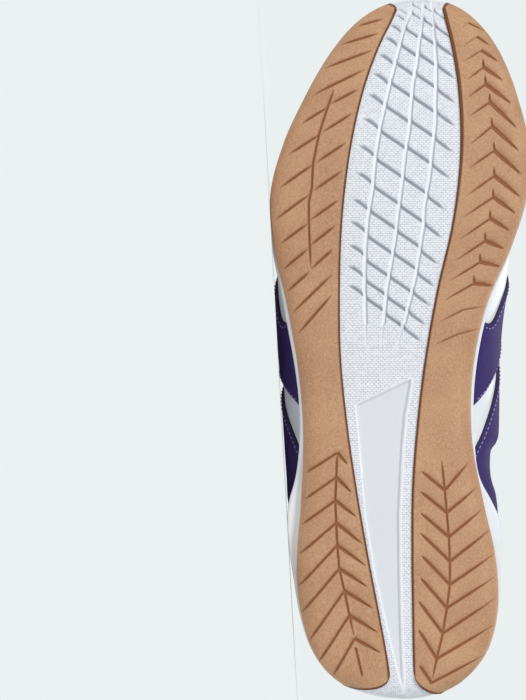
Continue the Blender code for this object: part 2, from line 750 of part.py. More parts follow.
def make_midsole(foam):
    """The foam midsole: a bottom under the outsole, a ledge over the gum, a flared side, a rim and a tray."""
    depth = OUTSOLE_THICKNESS + CLEARANCE
    rings = [{side: [] for side in SIDES} for _ in range(9)]
    for side in SIDES:
        for turn in column_turns():
            outer, normal = outline_point(side, turn), outline_normal(side, turn)
            over_gum = ground(outer[1]) + wrap_height(turn) + CLEARANCE
            foot = footbed_height(outer[1])
            rim = foot + rim_height(turn)
            taper = HEEL_TAPER * SIDEWALL.at("taper", turn)
            points = recess_points(side, turn, depth)
            points += [
                with_height(outer - normal * depth, over_gum),
                with_height(sidewall_point(side, turn, 0), over_gum + 0.0006),
                with_height(sidewall_point(side, turn, taper * 0.15), foot + (over_gum - foot) * 0.45),
                with_height(sidewall_point(side, turn, taper), rim),
                with_height(sidewall_point(side, turn, rim_inset(turn)), rim),
                with_height(sidewall_point(side, turn, rim_inset(turn)), foot),
            ]
            for ring, point in zip(rings, points):
                ring[side].append(point)
    return new_object("midsole", loft_rings(rings), foam)


def base_point(side, turn):
    """Where the upper's outer face starts, inside the midsole's rim."""
    point = sidewall_point(side, turn, rim_inset(turn) + CLEARANCE)
    return with_height(point, footbed_height(outline_point(side, turn)[1]) + CLEARANCE)


def make_insole(foam):
    """The insole fills the upper's base and rises a little at its edge."""
    rings = [{side: [] for side in SIDES} for _ in range(4)]
    for side in SIDES:
        for turn in column_turns():
            edge = rim_inset(turn) + 2 * CLEARANCE + UPPER_WALL * 1.25
            low = footbed_height(outline_point(side, turn)[1]) + 2 * CLEARANCE
            points = (
                with_height(sidewall_point(side, turn, edge), low),
                with_height(sidewall_point(side, turn, edge), low + INSOLE_THICKNESS * 0.8),
                with_height(sidewall_point(side, turn, edge + 0.0015), low + INSOLE_THICKNESS),
                with_height(sidewall_point(side, turn, edge + 0.010), low + INSOLE_THICKNESS * 0.75),
            )
            for ring, point in zip(rings, points):
                ring[side].append(point)
    return new_object("insole", loft_rings(rings), foam)


def ridge_x(y):
    """The sideways place of the upper's ridge line at a length."""
    return BALL_WIDTH * curve_through(np.array(RIDGE_PLACES), np.array(RIDGE_OFFSETS), y / SOLE_LENGTH)


def top_point(side, turn):
    """A point of the upper's top line: collar, throat, and past the vamp point the ridge over the toes."""
    y = SOLE_LENGTH * UPPER.at("top_y", turn)
    half = OPENING_HALF_WIDTH * max(0.0, UPPER.at("half", turn))
    if station_of(turn) >= VAMP_POINT - 1e-6:
        half = 0.0
    return np.array((ridge_x(y) + side * half, y, COLLAR_HEIGHT * UPPER.at("top_z", turn)))


def profile(side, turn):
    """The four control points of the upper's side profile above the rim."""
    start = base_point(side, turn)
    start[2] += rim_height(turn) + SKIRT_OVER_RIM
    top = top_point(side, turn)
    normal = outline_normal(side, turn)
    low = SIDE_BULGE * UPPER.at("low_" + side_name(side), turn)
    rise = SIDE_RISE * UPPER.at("rise", turn)
    towards = (start - top)[:2]
    towards /= np.linalg.norm(towards)
    high = INSTEP_ROUND * UPPER.at("high", turn)
    step = 0.01
    ahead, behind = top_point(side, min(math.pi, turn + step)), top_point(side, max(0.0, turn - step))
    slope = (ahead[2] - behind[2]) / max(1e-5, ahead[1] - behind[1])
    on_ridge = blend(COLLAR_CORNER, VAMP_POINT, station_of(turn))
    drop = COLLAR_DROP * UPPER.at("drop", turn) - on_ridge * slope * towards[1] * high
    second = start + np.array((normal[0] * low, normal[1] * low, rise))
    third = top + np.array((towards[0] * high, towards[1] * high, -drop))
    return start, second, third, top


def upper_point(side, turn, level):
    """A point of the upper's outer face: level 0 at the rim, 1 at the top line, below 0 inside the rim."""
    if level < 0:
        return base_point(side, turn)
    a, b, c, d = profile(side, turn)
    t, s = level, 1 - level
    return a * s**3 + 3 * b * s * s * t + 3 * c * s * t * t + d * t**3


def column_turns():
    """The turns of the upper's columns, with one at the collar's corner and one at the vamp point."""
    heel_part = np.linspace(0, turn_of(COLLAR_CORNER), 13)
    throat_part = np.linspace(turn_of(COLLAR_CORNER), turn_of(VAMP_POINT), 6)
    toe_part = np.linspace(turn_of(VAMP_POINT), math.pi, 9)
    return [*heel_part, *throat_part[1:], *toe_part[1:]]


def wall_at(turn, level):
    """The upper's wall thickness, which grows to the padding round the collar."""
    collar = 1 - blend(COLLAR_CORNER - 0.13, COLLAR_CORNER - 0.03, station_of(turn))
    return UPPER_WALL + COLLAR_PADDING * collar * blend(0.62, 0.86, level)


def upper_grids():
    """The upper's outer face as one grid of points for each side."""
    turns = column_turns()
    return [[[upper_point(side, turn, level) for level in LEVELS] for turn in turns] for side in SIDES]


def make_upper(leather):
    """The upper: one hollow wall, open at the collar, the throat and underneath."""
    outer, inner = [], []
    for side in SIDES:
        turns = column_turns()
        rounding = [0.30 if level == 1.0 else 0.0 for level in LEVELS]
        outer.append([[-wall_at(t, v) * r for v, r in zip(LEVELS, rounding)] for t in turns])
        inner.append([[-wall_at(t, v) * (1 - r) for v, r in zip(LEVELS, rounding)] for t in turns])
    return new_object("upper", thickened(upper_grids(), outer, inner), leather)


def overlay(name, leather, region, others=()):
    """An overlay: a shell that stands off the whole upper by the overlay gap, kept where the region is."""
    grids = upper_grids()
    outer = [[[OVERLAY_GAP + OVERLAY_THICKNESS] * len(row) for row in grid] for grid in grids]
    inner = [[[OVERLAY_GAP] * len(row) for row in grid] for grid in grids]
    made = new_object(name, thickened(grids, outer, inner), leather)
    cut(made, [region], "INTERSECT")
    cut(made, others)


def region(name, grids):
    """A thick slab along the upper, through its wall, that marks out where an overlay lies."""
    outer = [[[REGION_REACH] * len(row) for row in grid] for grid in grids]
    inner = [[[-REGION_REACH / 2] * len(row) for row in grid] for grid in grids]
    return new_object("cutter_" + name, thickened(grids, outer, inner), None)


def leaning_point(side, line, level):
    """A point of the upper where a line that starts at a station of the rim has leant forward by a level."""
    lean = PANEL_LEAN * (1 - (1 - max(level, 0)) ** 2.6)
    if side == MEDIAL:
        lean += MEDIAL_NOTCH_LEAN * blend(0.05, 0.40, level) * (1 - blend(0.42, 0.53, line))
    return upper_point(side, turn_of(line + lean * blend(0.10, 0.34, line)), level)


def make_quarter_panel(side, leather):
    """The quarter's panel, with its notch."""
    rows = []
    for line in PANEL_LINES:
        top = PANEL_RISE * blend(0.25, 0.42, line) / (PANEL_LEVELS[-1] - PANEL_LEVELS[0])
        levels = [v + top * (v - PANEL_LEVELS[0]) for v in PANEL_LEVELS]
        rows.append([leaning_point(side, line, v) for v in levels])
    name = side_name(side)
    panel = region("panel_" + name, [rows])
    back, front = NOTCH_LINES
    wedge = []
    for level in np.linspace(-0.04, NOTCH_TOP, 5):
        narrow = (front - back) * (1 - level / NOTCH_TOP) ** 0.9 + NOTCH_TIP
        middle = (front + back) / 2
        line = [middle - narrow / 2, middle, middle + narrow / 2]
        wedge.append([leaning_point(side, v, level) for v in line])
    notch = region("notch_" + name, [wedge])
    overlay("quarter_panel_" + name, leather, panel, [notch])


def make_counter(leather):
    """The heel counter wraps the heel from side to side."""
    turns = np.linspace(0, turn_of(COUNTER_END), 5)
    grids = [[[upper_point(side, t, v) for v in COUNTER_LEVELS] for t in turns] for side in SIDES]
    overlay("heel_counter", leather, region("counter", grids))


def make_toe_cap(leather):
    """The toe cap wraps the toes. Its top edge falls towards its ends."""
    turns = np.linspace(turn_of(TOE_CAP_START), math.pi, 7)
    grids = []
    for side in SIDES:
        grid = []
        for turn in turns:
            top = TOE_CAP_TOP * (0.35 + 0.65 * blend(TOE_CAP_START - 0.02, 0.97, station_of(turn)))
            grid.append([upper_point(side, turn, v) for v in np.linspace(0.06, top, 5)])
        grids.append(grid)
    overlay("toe_cap", leather, region("toe", grids))


def throat_turns():
    return [t for t in column_turns() if COLLAR_CORNER - 1e-6 <= station_of(t) <= VAMP_POINT + 1e-6]


def make_eyestay(leather, cutters):
    """The eyestay runs round the throat, joined in front of the vamp point."""
    ahead = np.linspace(turn_of(VAMP_POINT), turn_of(EYESTAY_END), 4)[1:]
    turns = [turn_of(EYESTAY_START), *throat_turns()[1:], *ahead]
    grids = []
    for side in SIDES:
        grid = []
        for turn in turns:
            top = 1.0 if station_of(turn) > VAMP_POINT + 1e-6 else EYESTAY_HIGH
            ahead = max(0.0, (station_of(turn) - VAMP_POINT) / (EYESTAY_END - VAMP_POINT))
            low = EYESTAY_LOW + (1 - EYESTAY_LOW) * 0.6 * ahead**2
            grid.append([upper_point(side, turn, low + (top - low) * s) for s in (0, 0.5, 1)])
        grids.append(grid)
    overlay("eyestay", leather, region("eyestay", grids), cutters)


def eyelet_frames(side):
    """The centre and outward direction of each eyelet, from the vamp to the collar."""
    frames = []
    for i in range(EYELETS_PER_SIDE):
        turn = turn_of(eyelet_station(i))
        centre = upper_point(side, turn, 0.90)
        up = upper_point(side, turn, 0.93) - upper_point(side, turn, 0.87)
        along = upper_point(side, turn + 0.02, 0.90) - upper_point(side, turn - 0.02, 0.90)
        normal = np.cross(up, along) * side
        frames.append((Vector(centre), Vector(normal if normal[2] > 0 else -normal).normalized()))
    return frames


def eyelet_cutter(side):
    """Round pins through the upper and the eyestay, one for each eyelet."""
    bm = bmesh.new()
    for centre, normal in eyelet_frames(side):
        turn = normal.to_track_quat("Z", "Y").to_matrix().to_4x4()
        place = Matrix.Translation(centre) @ turn
        radii = {"radius1": EYELET_RADIUS, "radius2": EYELET_RADIUS}
        bmesh.ops.create_cone(bm, cap_ends=True, segments=6, depth=0.012, matrix=place, **radii)
    return new_object("cutter_eyelets_" + side_name(side), bm, None)


def eyelet_station(i):
    """The station of an eyelet, counted from the vamp to the collar."""
    return VAMP_POINT - 0.030 - (VAMP_POINT - COLLAR_CORNER - 0.050) * i / (EYELETS_PER_SIDE - 1)


def make_laces(cord):
    """A straight lace bar across each pair of eyelets. Its two ends turn down into the holes."""
    over = OVERLAY_GAP + OVERLAY_THICKNESS + CLEARANCE + LACE_THICKNESS / 2
    for i in range(EYELETS_PER_SIDE):
        path = []
        for side in SIDES:
            centre, normal = eyelet_frames(side)[i]
            edge = Vector(upper_point(side, turn_of(eyelet_station(i)), 1.0))
            slide = edge - centre
            slide = (slide - normal * slide.dot(normal)).normalized()
            narrow = EYELET_RADIUS * 0.6
            beside = centre + slide * (EYELET_RADIUS + 0.0012)
            half = [
                (centre - normal * 0.0018, -slide, narrow),
                (centre + normal * (over - LACE_THICKNESS / 2), -slide, narrow),
                (beside + normal * (over + 0.0006), normal, LACE_WIDTH / 2),
                (edge + normal * (over + 0.0012), normal, LACE_WIDTH / 2),
            ]
            path += half if side == LATERAL else half[::-1]
        rings = []
        for k, (place, out, half_width) in enumerate(path):
            along = (path[min(k + 1, len(path) - 1)][0] - path[max(k - 1, 0)][0]).normalized()
            out = (out - along * out.dot(along)).normalized()
            wide = along.cross(out).normalized() * half_width
            thick = out * LACE_THICKNESS / 2
            corners = (wide + thick, wide - thick, -wide - thick, thick - wide)
            rings.append([place + corner for corner in corners])
        new_object("lace_bar_%d" % (i + 1), loft_closed_sections(rings), cord)


def make_tongue(leather):
    """The tongue lies under the throat and the front of the vamp, and rises past the collar."""
    turns = [*throat_turns(), *np.linspace(turn_of(VAMP_POINT), turn_of(0.80), 4)[1:]]
    rows = []
    for turn in turns:
        lateral, medial = ([upper_point(side, turn, v) for v in TONGUE_LEVELS] for side in SIDES)
        centre = (lateral[-1] + medial[-1]) / 2 + np.array((0, 0, 0.0006))
        thickness = TONGUE_THICKNESS * (1 - 0.45 * blend(0.60, VAMP_POINT, station_of(turn)))
        face = (*lateral, centre, *medial[::-1])
        rows.append((centre, [(p - centre) * TONGUE_PINCH for p in face], thickness))
    corner = rows[0]
    drops = [-o[2] for o in corner[1]]
    for step in TONGUE_RISE:
        centre = corner[0] + RISE_DIRECTION * TONGUE_LENGTH_ABOVE_COLLAR * step["length"]
        offset = [
            np.array((o[0] * step["width"], 0, 0)) + RISE_INWARD * drop * (1 - 0.5 * step["length"])
            for o, drop in zip(corner[1], drops)
        ]
        rows.insert(0, (centre, offset, TONGUE_THICKNESS))
    sections = []
    for k, (centre, offset, thickness) in enumerate(rows):
        along = rows[min(k + 1, len(rows) - 1)][0] - rows[max(k - 1, 0)][0]
        inward = np.array((0.0, along[2], -along[1]))
        inward /= np.linalg.norm(inward)
        outer = [centre + o + inward * (UPPER_WALL + TONGUE_GAP) for o in offset]
        sections.append([*outer, *[p + inward * thickness for p in outer[::-1]]])
    return new_object("tongue", loft_closed_sections(sections), leather)


def rest_on_side(parts, densities):
    """The turn and shift that lay the shoe on the face of its hull under its centre of mass."""
    depsgraph = bpy.context.evaluated_depsgraph_get()
    cloud = bmesh.new()
    moment, mass = Vector(), 0.0
    for made in parts:
        mesh = made.evaluated_get(depsgraph).to_mesh()
        mesh.calc_loop_triangles()
        for tri in mesh.loop_triangles:
            a, b, c = (mesh.vertices[i].co for i in tri.vertices)
            volume = a.dot(b.cross(c)) / 6 * densities[made.name.split("_")[0]]
            moment += (a + b + c) / 4 * volume
            mass += volume
        for vertex in mesh.vertices:
            cloud.verts.new(vertex.co)
    centre = moment / mass
    bmesh.ops.convex_hull(cloud, input=cloud.verts)
    cloud.normal_update()
    down, best_margin = None, -1.0
    for face in cloud.faces:
        if face.normal.x < 0.8 or len(face.verts) < 3:
            continue
        corners = [v.co for v in face.verts]
        margin = min(
            (b - a).cross(centre - a).dot(face.normal) / (b - a).length
            for a, b in zip(corners, corners[1:] + corners[:1])
        )
        if down is None or margin > best_margin:
            down, best_margin = face.normal.copy(), margin
    row_z = -down
    row_x = (Vector((0, -1, 0)) - row_z * row_z.dot(Vector((0, -1, 0)))).normalized()
    row_y = row_z.cross(row_x)
    turn = Matrix((row_x, row_y, row_z))
    placed = [turn @ v.co for v in cloud.verts]
    low = Vector([min(p[i] for p in placed) for i in range(3)])
    high = Vector([max(p[i] for p in placed) for i in range(3)])
    cloud.free()
    shift = Vector((-(low.x + high.x) / 2, -(low.y + high.y) / 2, -low.z))
    return Matrix.Translation(shift) @ turn.to_4x4()


def build():
    for old in list(bpy.data.objects):
        bpy.data.objects.remove(old)
    gum = material("gum_rubber", (0.55, 0.29, 0.16), 0.6)
    white_rubber = material("white_rubber", (0.80, 0.81, 0.84), 0.5)
    foam = material("white_foam", (0.80, 0.81, 0.82), 0.7)
    insole_foam = material("insole_foam", (0.04, 0.04, 0.05), 0.9)
    white_leather = material("white_leather", (0.80, 0.81, 0.83), 0.45)
    purple_leather = material("purple_leather", (0.058, 0.037, 0.14), 0.55)
    cord = material("lace_cord", (0.82, 0.82, 0.84), 0.8)
    core_cutter = core()
    envelopes = [pad_envelope(side) for side in SIDES]
    eyelet_cutters = [eyelet_cutter(side) for side in SIDES]
    for side in SIDES:
        make_pad(side, gum, core_cutter)
        make_quarter_panel(side, purple_leather)
    make_strip(white_rubber, [*envelopes, core_cutter])
    make_midsole(foam)
    make_insole(insole_foam)
    cut(make_upper(white_leather), eyelet_cutters)
    make_tongue(white_leather)
    make_eyestay(white_leather, eyelet_cutters)
    make_counter(white_leather)
    make_toe_cap(white_leather)
    make_laces(cord)
    parts = [o for o in bpy.data.objects if not o.hide_render]
    shoe = bpy.data.objects.new("shoe", None)
    bpy.context.scene.collection.objects.link(shoe)
    shoe.matrix_world = rest_on_side(parts, DENSITIES)
    for made in bpy.data.objects:
        if made is not shoe:
            made.parent = shoe


build()
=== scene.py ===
"""The looks of a right indoor soccer shoe. It lies on its lateral side and is seen square on at its sole."""

import math

import bmesh
import bpy
import numpy as np
from mathutils import Matrix, Vector


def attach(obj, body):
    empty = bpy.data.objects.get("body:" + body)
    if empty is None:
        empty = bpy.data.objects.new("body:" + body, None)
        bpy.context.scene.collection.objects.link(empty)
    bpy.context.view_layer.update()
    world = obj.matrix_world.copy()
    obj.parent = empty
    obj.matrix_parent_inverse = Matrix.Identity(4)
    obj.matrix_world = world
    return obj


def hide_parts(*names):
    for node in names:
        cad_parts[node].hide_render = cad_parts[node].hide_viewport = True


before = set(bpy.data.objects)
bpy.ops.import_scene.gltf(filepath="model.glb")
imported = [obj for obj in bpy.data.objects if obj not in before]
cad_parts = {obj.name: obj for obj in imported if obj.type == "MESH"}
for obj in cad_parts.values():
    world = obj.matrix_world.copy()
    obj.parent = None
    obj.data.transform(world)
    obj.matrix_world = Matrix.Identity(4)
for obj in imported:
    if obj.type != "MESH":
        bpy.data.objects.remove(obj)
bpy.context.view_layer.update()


# Pose and camera
# Every piece is shaped in the shoe's own frame: X towards the lateral side, Y from heel to toe, Z up through
# the sole. DOWN is the way in which the resting shoe's weight pulls, seen in that frame.

DOWN = Vector((0.998439, -0.055342, 0.007546))
REST_SHIFT = Vector((0.142065, -0.052642, 0.040737))
SOLE_LENGTH = 0.286
MM = 0.001

rest_z = -DOWN
rest_x = (Vector((0, -1, 0)) - rest_z * rest_z.dot(Vector((0, -1, 0)))).normalized()
REST = Matrix.Translation(REST_SHIFT) @ Matrix((rest_x, rest_z.cross(rest_x), rest_z)).to_4x4()
REST_TURN = np.array(REST.to_3x3())

CAMERA_DISTANCE = 1.5
PICTURE_CENTRE = (0.0546, 0.1422)
CAMERA_SIDEWAYS = 0.0578
FOCAL_SHARE = 1.0107 * CAMERA_DISTANCE / SOLE_LENGTH

camera_data = bpy.data.cameras.new("camera")
camera = bpy.data.objects.new("camera", camera_data)
bpy.context.scene.collection.objects.link(camera)
bpy.context.scene.camera = camera
camera_data.sensor_fit = "VERTICAL"
camera_data.sensor_height = 24
camera_data.lens = camera_data.sensor_height * FOCAL_SHARE
camera_data.clip_start = 0.01
camera_data.clip_end = 50
camera_place = Vector((CAMERA_SIDEWAYS, PICTURE_CENTRE[1], -CAMERA_DISTANCE))
looks = (Vector((*PICTURE_CENTRE, 0)) - camera_place).normalized()
rightwards = looks.cross(Vector((0, 1, 0))).normalized()
camera_turn = Matrix((rightwards, rightwards.cross(looks), -looks)).transposed()
camera.matrix_world = REST @ Matrix.Translation(camera_place) @ camera_turn.to_4x4()


# Midsole
# One moulded block of white EVA foam. It is flared at the heel, where its side has fine pimples, and its rim
# stands up round the upper, which is glued into it.

LATERAL, MEDIAL = 1, -1
SIDES = (LATERAL, MEDIAL)
BALL_WIDTH = 0.1046
TOE_SPRING = 0.012
HEEL_BEVEL = 0.0025
ARCH_RISE = 0.0018
OUTSOLE_THICKNESS = 0.004
EDGE_RUN = 0.0085
EDGE_RISE = 0.0068
WRAP_HEIGHT = 0.010
HEEL_STACK = 0.0225
FOREFOOT_STACK = 0.0155
HEEL_FLARE = 0.0049
HEEL_TAPER = 0.0045
RIM_THICKNESS = 0.0024
HEEL_RIM = 0.0085
FOREFOOT_RIM = 0.003
CLEARANCE = 0.0003
SIDE_BELLY = 0.6 * MM
SEAM_DEPTH, SEAM_PLACE, SEAM_WIDTH = 0.35 * MM, 0.80, 0.035
PIMPLED_RINGS = slice(4, 18)

# Half widths of the sole from its axis, as shares of the ball width, from heel, 0, to toe, 1
OUTLINE = (
    ("station", "lateral", "medial"),
    (0.000, -0.031, 0.031),
    (0.030, 0.243, 0.263),
    (0.076, 0.337, 0.357),
    (0.122, 0.373, 0.388),
    (0.168, 0.390, 0.391),
    (0.214, 0.388, 0.376),
    (0.283, 0.374, 0.333),
    (0.374, 0.365, 0.290),
    (0.466, 0.384, 0.294),
    (0.558, 0.427, 0.345),
    (0.650, 0.482, 0.450),
    (0.715, 0.494, 0.504),
    (0.788, 0.445, 0.511),
    (0.856, 0.361, 0.470),
    (0.925, 0.251, 0.397),
    (0.971, 0.137, 0.302),
    (0.992, 0.035, 0.215),
    (1.000, -0.092, 0.092),
)
# Shares of the heel's flare and taper, and of the height at which the gum ends on the side
SIDEWALL = (
    ("station", "flare_lateral", "flare_medial", "taper", "wrap"),
    (0.000, 0.00, 0.00, 0.80, 0.95),
    (0.122, 0.12, 0.12, 0.90, 0.85),
    (0.168, 0.22, 0.22, 0.95, 0.82),
    (0.214, 0.67, 0.57, 1.00, 0.78),
    (0.254, 1.00, 1.00, 1.00, 0.74),
    (0.283, 0.95, 0.65, 0.75, 0.72),
    (0.306, 0.62, 0.22, 0.50, 0.70),
    (0.374, 0.20, 0.18, 0.15, 0.70),
    (0.558, 0.20, 0.20, 0.15, 0.85),
    (0.650, 0.05, 0.08, 0.20, 1.00),
    (0.720, -0.15, -0.15, 0.25, 1.05),
    (1.000, -0.15, -0.15, 0.25, 0.95),
)


def linear(colour):
    """A colour as it is written for screens, in the shader's linear values."""
    values = [int(colour[i : i + 2], 16) / 255 for i in (1, 3, 5)]
    return (*[v / 12.92 if v <= 0.04045 else ((v + 0.055) / 1.055) ** 2.4 for v in values], 1.0)


def add(tree, kind, inputs=None, **settings):
    """Adds a node with its settings, and fills or links its inputs."""
    made = tree.nodes.new(kind)
    for key, value in settings.items():
        setattr(made, key, value)
    for key, value in (inputs or {}).items():
        if isinstance(value, bpy.types.NodeSocket):
            tree.links.new(value, made.inputs[key])
        else:
            made.inputs[key].default_value = value
    return made


def new_material(name, colour, roughness, **values):
    """A Principled material with its plain values set. Gives its node tree, shader and Object coordinates."""
    made = bpy.data.materials.new(name)
    made.use_nodes = True
    made.diffuse_color = linear(colour)
    shader = made.node_tree.nodes["Principled BSDF"]
    shader.inputs["Base Color"].default_value = linear(colour)
    shader.inputs["Roughness"].default_value = roughness
    for key, value in values.items():
        shader.inputs[key.replace("_", " ")].default_value = value
    coordinates = add(made.node_tree, "ShaderNodeTexCoord").outputs["Object"]
    return made, made.node_tree, shader, coordinates


def turn_of(station):
    """The angle that stands for a station: 0 at the heel's tip and pi at the toe's tip."""
    return np.arccos(np.clip(1 - 2 * np.asarray(station, float), -1, 1))


def station_of(turn):
    return (1 - np.cos(turn)) / 2


def blend(low, high, share):
    t = np.clip((np.asarray(share, float) - low) / (high - low), 0, 1)
    return t * t * (3 - 2 * t)


def curve_through(xs, ys, x):
    """A smooth curve through the points, made of cubics whose slopes come from the neighbours."""
    xs, ys = np.asarray(xs, float), np.asarray(ys, float)
    steps = np.diff(xs)
    rates = np.diff(ys) / steps
    slopes = np.empty(len(xs))
    slopes[1:-1] = (rates[:-1] * steps[1:] + rates[1:] * steps[:-1]) / (steps[1:] + steps[:-1])
    slopes[0], slopes[-1] = rates[0], rates[-1]
    i = np.clip(np.searchsorted(xs, x, side="right") - 1, 0, len(xs) - 2)
    t = np.clip((x - xs[i]) / steps[i], 0, 1)
    ends = ys[i] * (1 + 2 * t) * (1 - t) ** 2 + ys[i + 1] * t * t * (3 - 2 * t)
    return ends + steps[i] * (slopes[i] * t * (1 - t) ** 2 + slopes[i + 1] * t * t * (t - 1))


def read(table, name, turn):
    """A column of a table of sections, at the turns given."""
    names, rows = table[0], table[1:]
    k = names.index(name)
    return curve_through(turn_of([row[0] for row in rows]), [row[k] for row in rows], turn)


def side_name(side):
    return "lateral" if side == LATERAL else "medial"


def outline_point(side, turn):
    turn = np.asarray(turn, float)
    x = side * BALL_WIDTH * read(OUTLINE, side_name(side), turn)
    return np.stack((x, SOLE_LENGTH * station_of(turn)), -1)


def outline_normal(side, turn):
    turn = np.asarray(turn, float)
    step = 0.004
    along = outline_point(side, np.minimum(math.pi, turn + step))
    along = along - outline_point(side, np.maximum(0, turn - step))
    at_tip = (turn < step) | (turn > math.pi - step)
    along[..., 1] = np.where(at_tip, 0, along[..., 1])
    along /= np.linalg.norm(along, axis=-1, keepdims=True)
    return side * np.stack((along[..., 1], -along[..., 0]), -1)


def ground(y, arch=True):
    """The height of the tread above the floor that the standing shoe would touch."""
    share = np.asarray(y, float) / SOLE_LENGTH
    spring = TOE_SPRING * np.maximum(0, (share - 0.70) / 0.30) ** 2.1
    bevel = HEEL_BEVEL * np.maximum(0, (0.06 - share) / 0.06) ** 2
    middle = np.where((share > 0.27) & (share < 0.58), np.sin(math.pi * (share - 0.27) / 0.31) ** 2, 0)
    return spring + bevel + (ARCH_RISE * middle if arch else 0.0)


def shell_height(distance, depth):
    """How the outsole's skin curls up near the outline."""
    share = np.clip((EDGE_RUN - distance) / (EDGE_RUN - depth), 0, 1)
    return depth + (EDGE_RISE - depth) * (1 - np.sqrt(1 - share * share))


def wrap_height(turn):
    return WRAP_HEIGHT * read(SIDEWALL, "wrap", turn)


def footbed_height(y):
    share = y / SOLE_LENGTH
    return ground(y, arch=False) + HEEL_STACK + (FOREFOOT_STACK - HEEL_STACK) * blend(0.22, 0.62, share)


def rim_height(turn):
    return HEEL_RIM + (FOREFOOT_RIM - HEEL_RIM) * blend(0.20, 0.36, station_of(turn))


def sidewall_point(side, turn, inset):
    flare = HEEL_FLARE * read(SIDEWALL, "flare_" + side_name(side), turn)
    return outline_point(side, turn) + outline_normal(side, turn) * np.asarray(flare - inset)[..., None]


def rim_inset(turn):
    return HEEL_TAPER * read(SIDEWALL, "taper", turn) + RIM_THICKNESS


def lifted(plan, z):
    """Plan points with their heights."""
    return np.concatenate((plan, np.broadcast_to(z, plan.shape[:-1])[..., None]), -1)


def new_piece(name, grids, materials, kinds=None, **attributes):
    """A welded mesh from grids of points in the shoe's own frame. kinds gives the material index of each
    grid, and each attribute holds one array of values for each grid."""
    verts = np.concatenate([grid.reshape(-1, 3) for grid in grids])
    faces, slots, start = [], [], 0
    for k, grid in enumerate(grids):
        index = np.arange(grid.shape[0] * grid.shape[1]).reshape(grid.shape[:2]) + start
        quads = np.stack((index[:-1, :-1], index[:-1, 1:], index[1:, 1:], index[1:, :-1]), -1).reshape(-1, 4)
        faces.append(quads)
        slots.append(np.full(len(quads), kinds[k] if kinds else 0))
        start += index.size
    faces, slots = np.concatenate(faces), np.concatenate(slots)
    mesh = bpy.data.meshes.new(name)
    mesh.vertices.add(len(verts))
    mesh.vertices.foreach_set("co", (verts @ REST_TURN.T + np.array(REST_SHIFT)).ravel())
    mesh.loops.add(faces.size)
    mesh.loops.foreach_set("vertex_index", faces.ravel())
    mesh.polygons.add(len(faces))
    mesh.polygons.foreach_set("loop_start", np.arange(0, faces.size, 4))
    mesh.polygons.foreach_set("material_index", slots)
    mesh.polygons.foreach_set("use_smooth", np.ones(len(faces), bool))
    layer = mesh.attributes.new("own_place", "FLOAT_VECTOR", "POINT")
    layer.data.foreach_set("vector", (verts / MM).ravel())
    for key, values in attributes.items():
        layer = mesh.attributes.new(key, "FLOAT", "POINT")
        layer.data.foreach_set("value", np.concatenate([np.ravel(v) for v in values]))
    mesh.update()
    for material in materials:
        mesh.materials.append(material)
    bm = bmesh.new()
    bm.from_mesh(mesh)
    bmesh.ops.remove_doubles(bm, verts=bm.verts, dist=0.02 * MM)
    bmesh.ops.recalc_face_normals(bm, faces=bm.faces)
    bm.to_mesh(mesh)
    bm.free()
    made = bpy.data.objects.new(name, mesh)
    bpy.context.scene.collection.objects.link(made)
    return made


def show(made, slot, *nodes):
    """Puts a piece on the frame, in the place of the nodes that it stands for."""
    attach(made, "root")
    if nodes:
        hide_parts(*nodes)


# Moulded EVA: matt, with a faint skin and, at the heel's sides, pimples 1.3 mm apart from the mould
foam, tree, shader, place = new_material("moulded_white_eva", "#e3e6ea", 0.62, Specular_IOR_Level=0.35)
skin = add(tree, "ShaderNodeTexNoise", {"Vector": place, "Scale": 900.0, "Detail": 3.0}).outputs["Fac"]
cells = add(tree, "ShaderNodeTexVoronoi", {"Vector": place, "Scale": 760.0, "Randomness": 0.15})
pimples = add(
    tree, "ShaderNodeMapRange", {"Value": cells.outputs["Distance"], 1: 0.15, 2: 0.55, 3: 1.0, 4: 0.0}
).outputs[0]
where = add(tree, "ShaderNodeAttribute", attribute_name="pimpled").outputs["Fac"]
pimples = add(tree, "ShaderNodeMath", {0: pimples, 1: where}, operation="MULTIPLY").outputs[0]
shade = add(
    tree, "ShaderNodeMix", {0: pimples, 6: linear("#c6cbd2"), 7: linear("#e3e6ea")}, data_type="RGBA"
).outputs[2]
plain = add(tree, "ShaderNodeMix", {0: where, 6: linear("#e3e6ea"), 7: shade}, data_type="RGBA").outputs[2]
tree.links.new(plain, shader.inputs["Base Color"])
low_bump = add(tree, "ShaderNodeBump", {"Height": skin, "Distance": 0.04 * MM})
bump = add(tree, "ShaderNodeBump", {"Height": pimples, "Distance": 0.22 * MM, "Normal": low_bump.outputs[0]})
tree.links.new(bump.outputs[0], shader.inputs["Normal"])

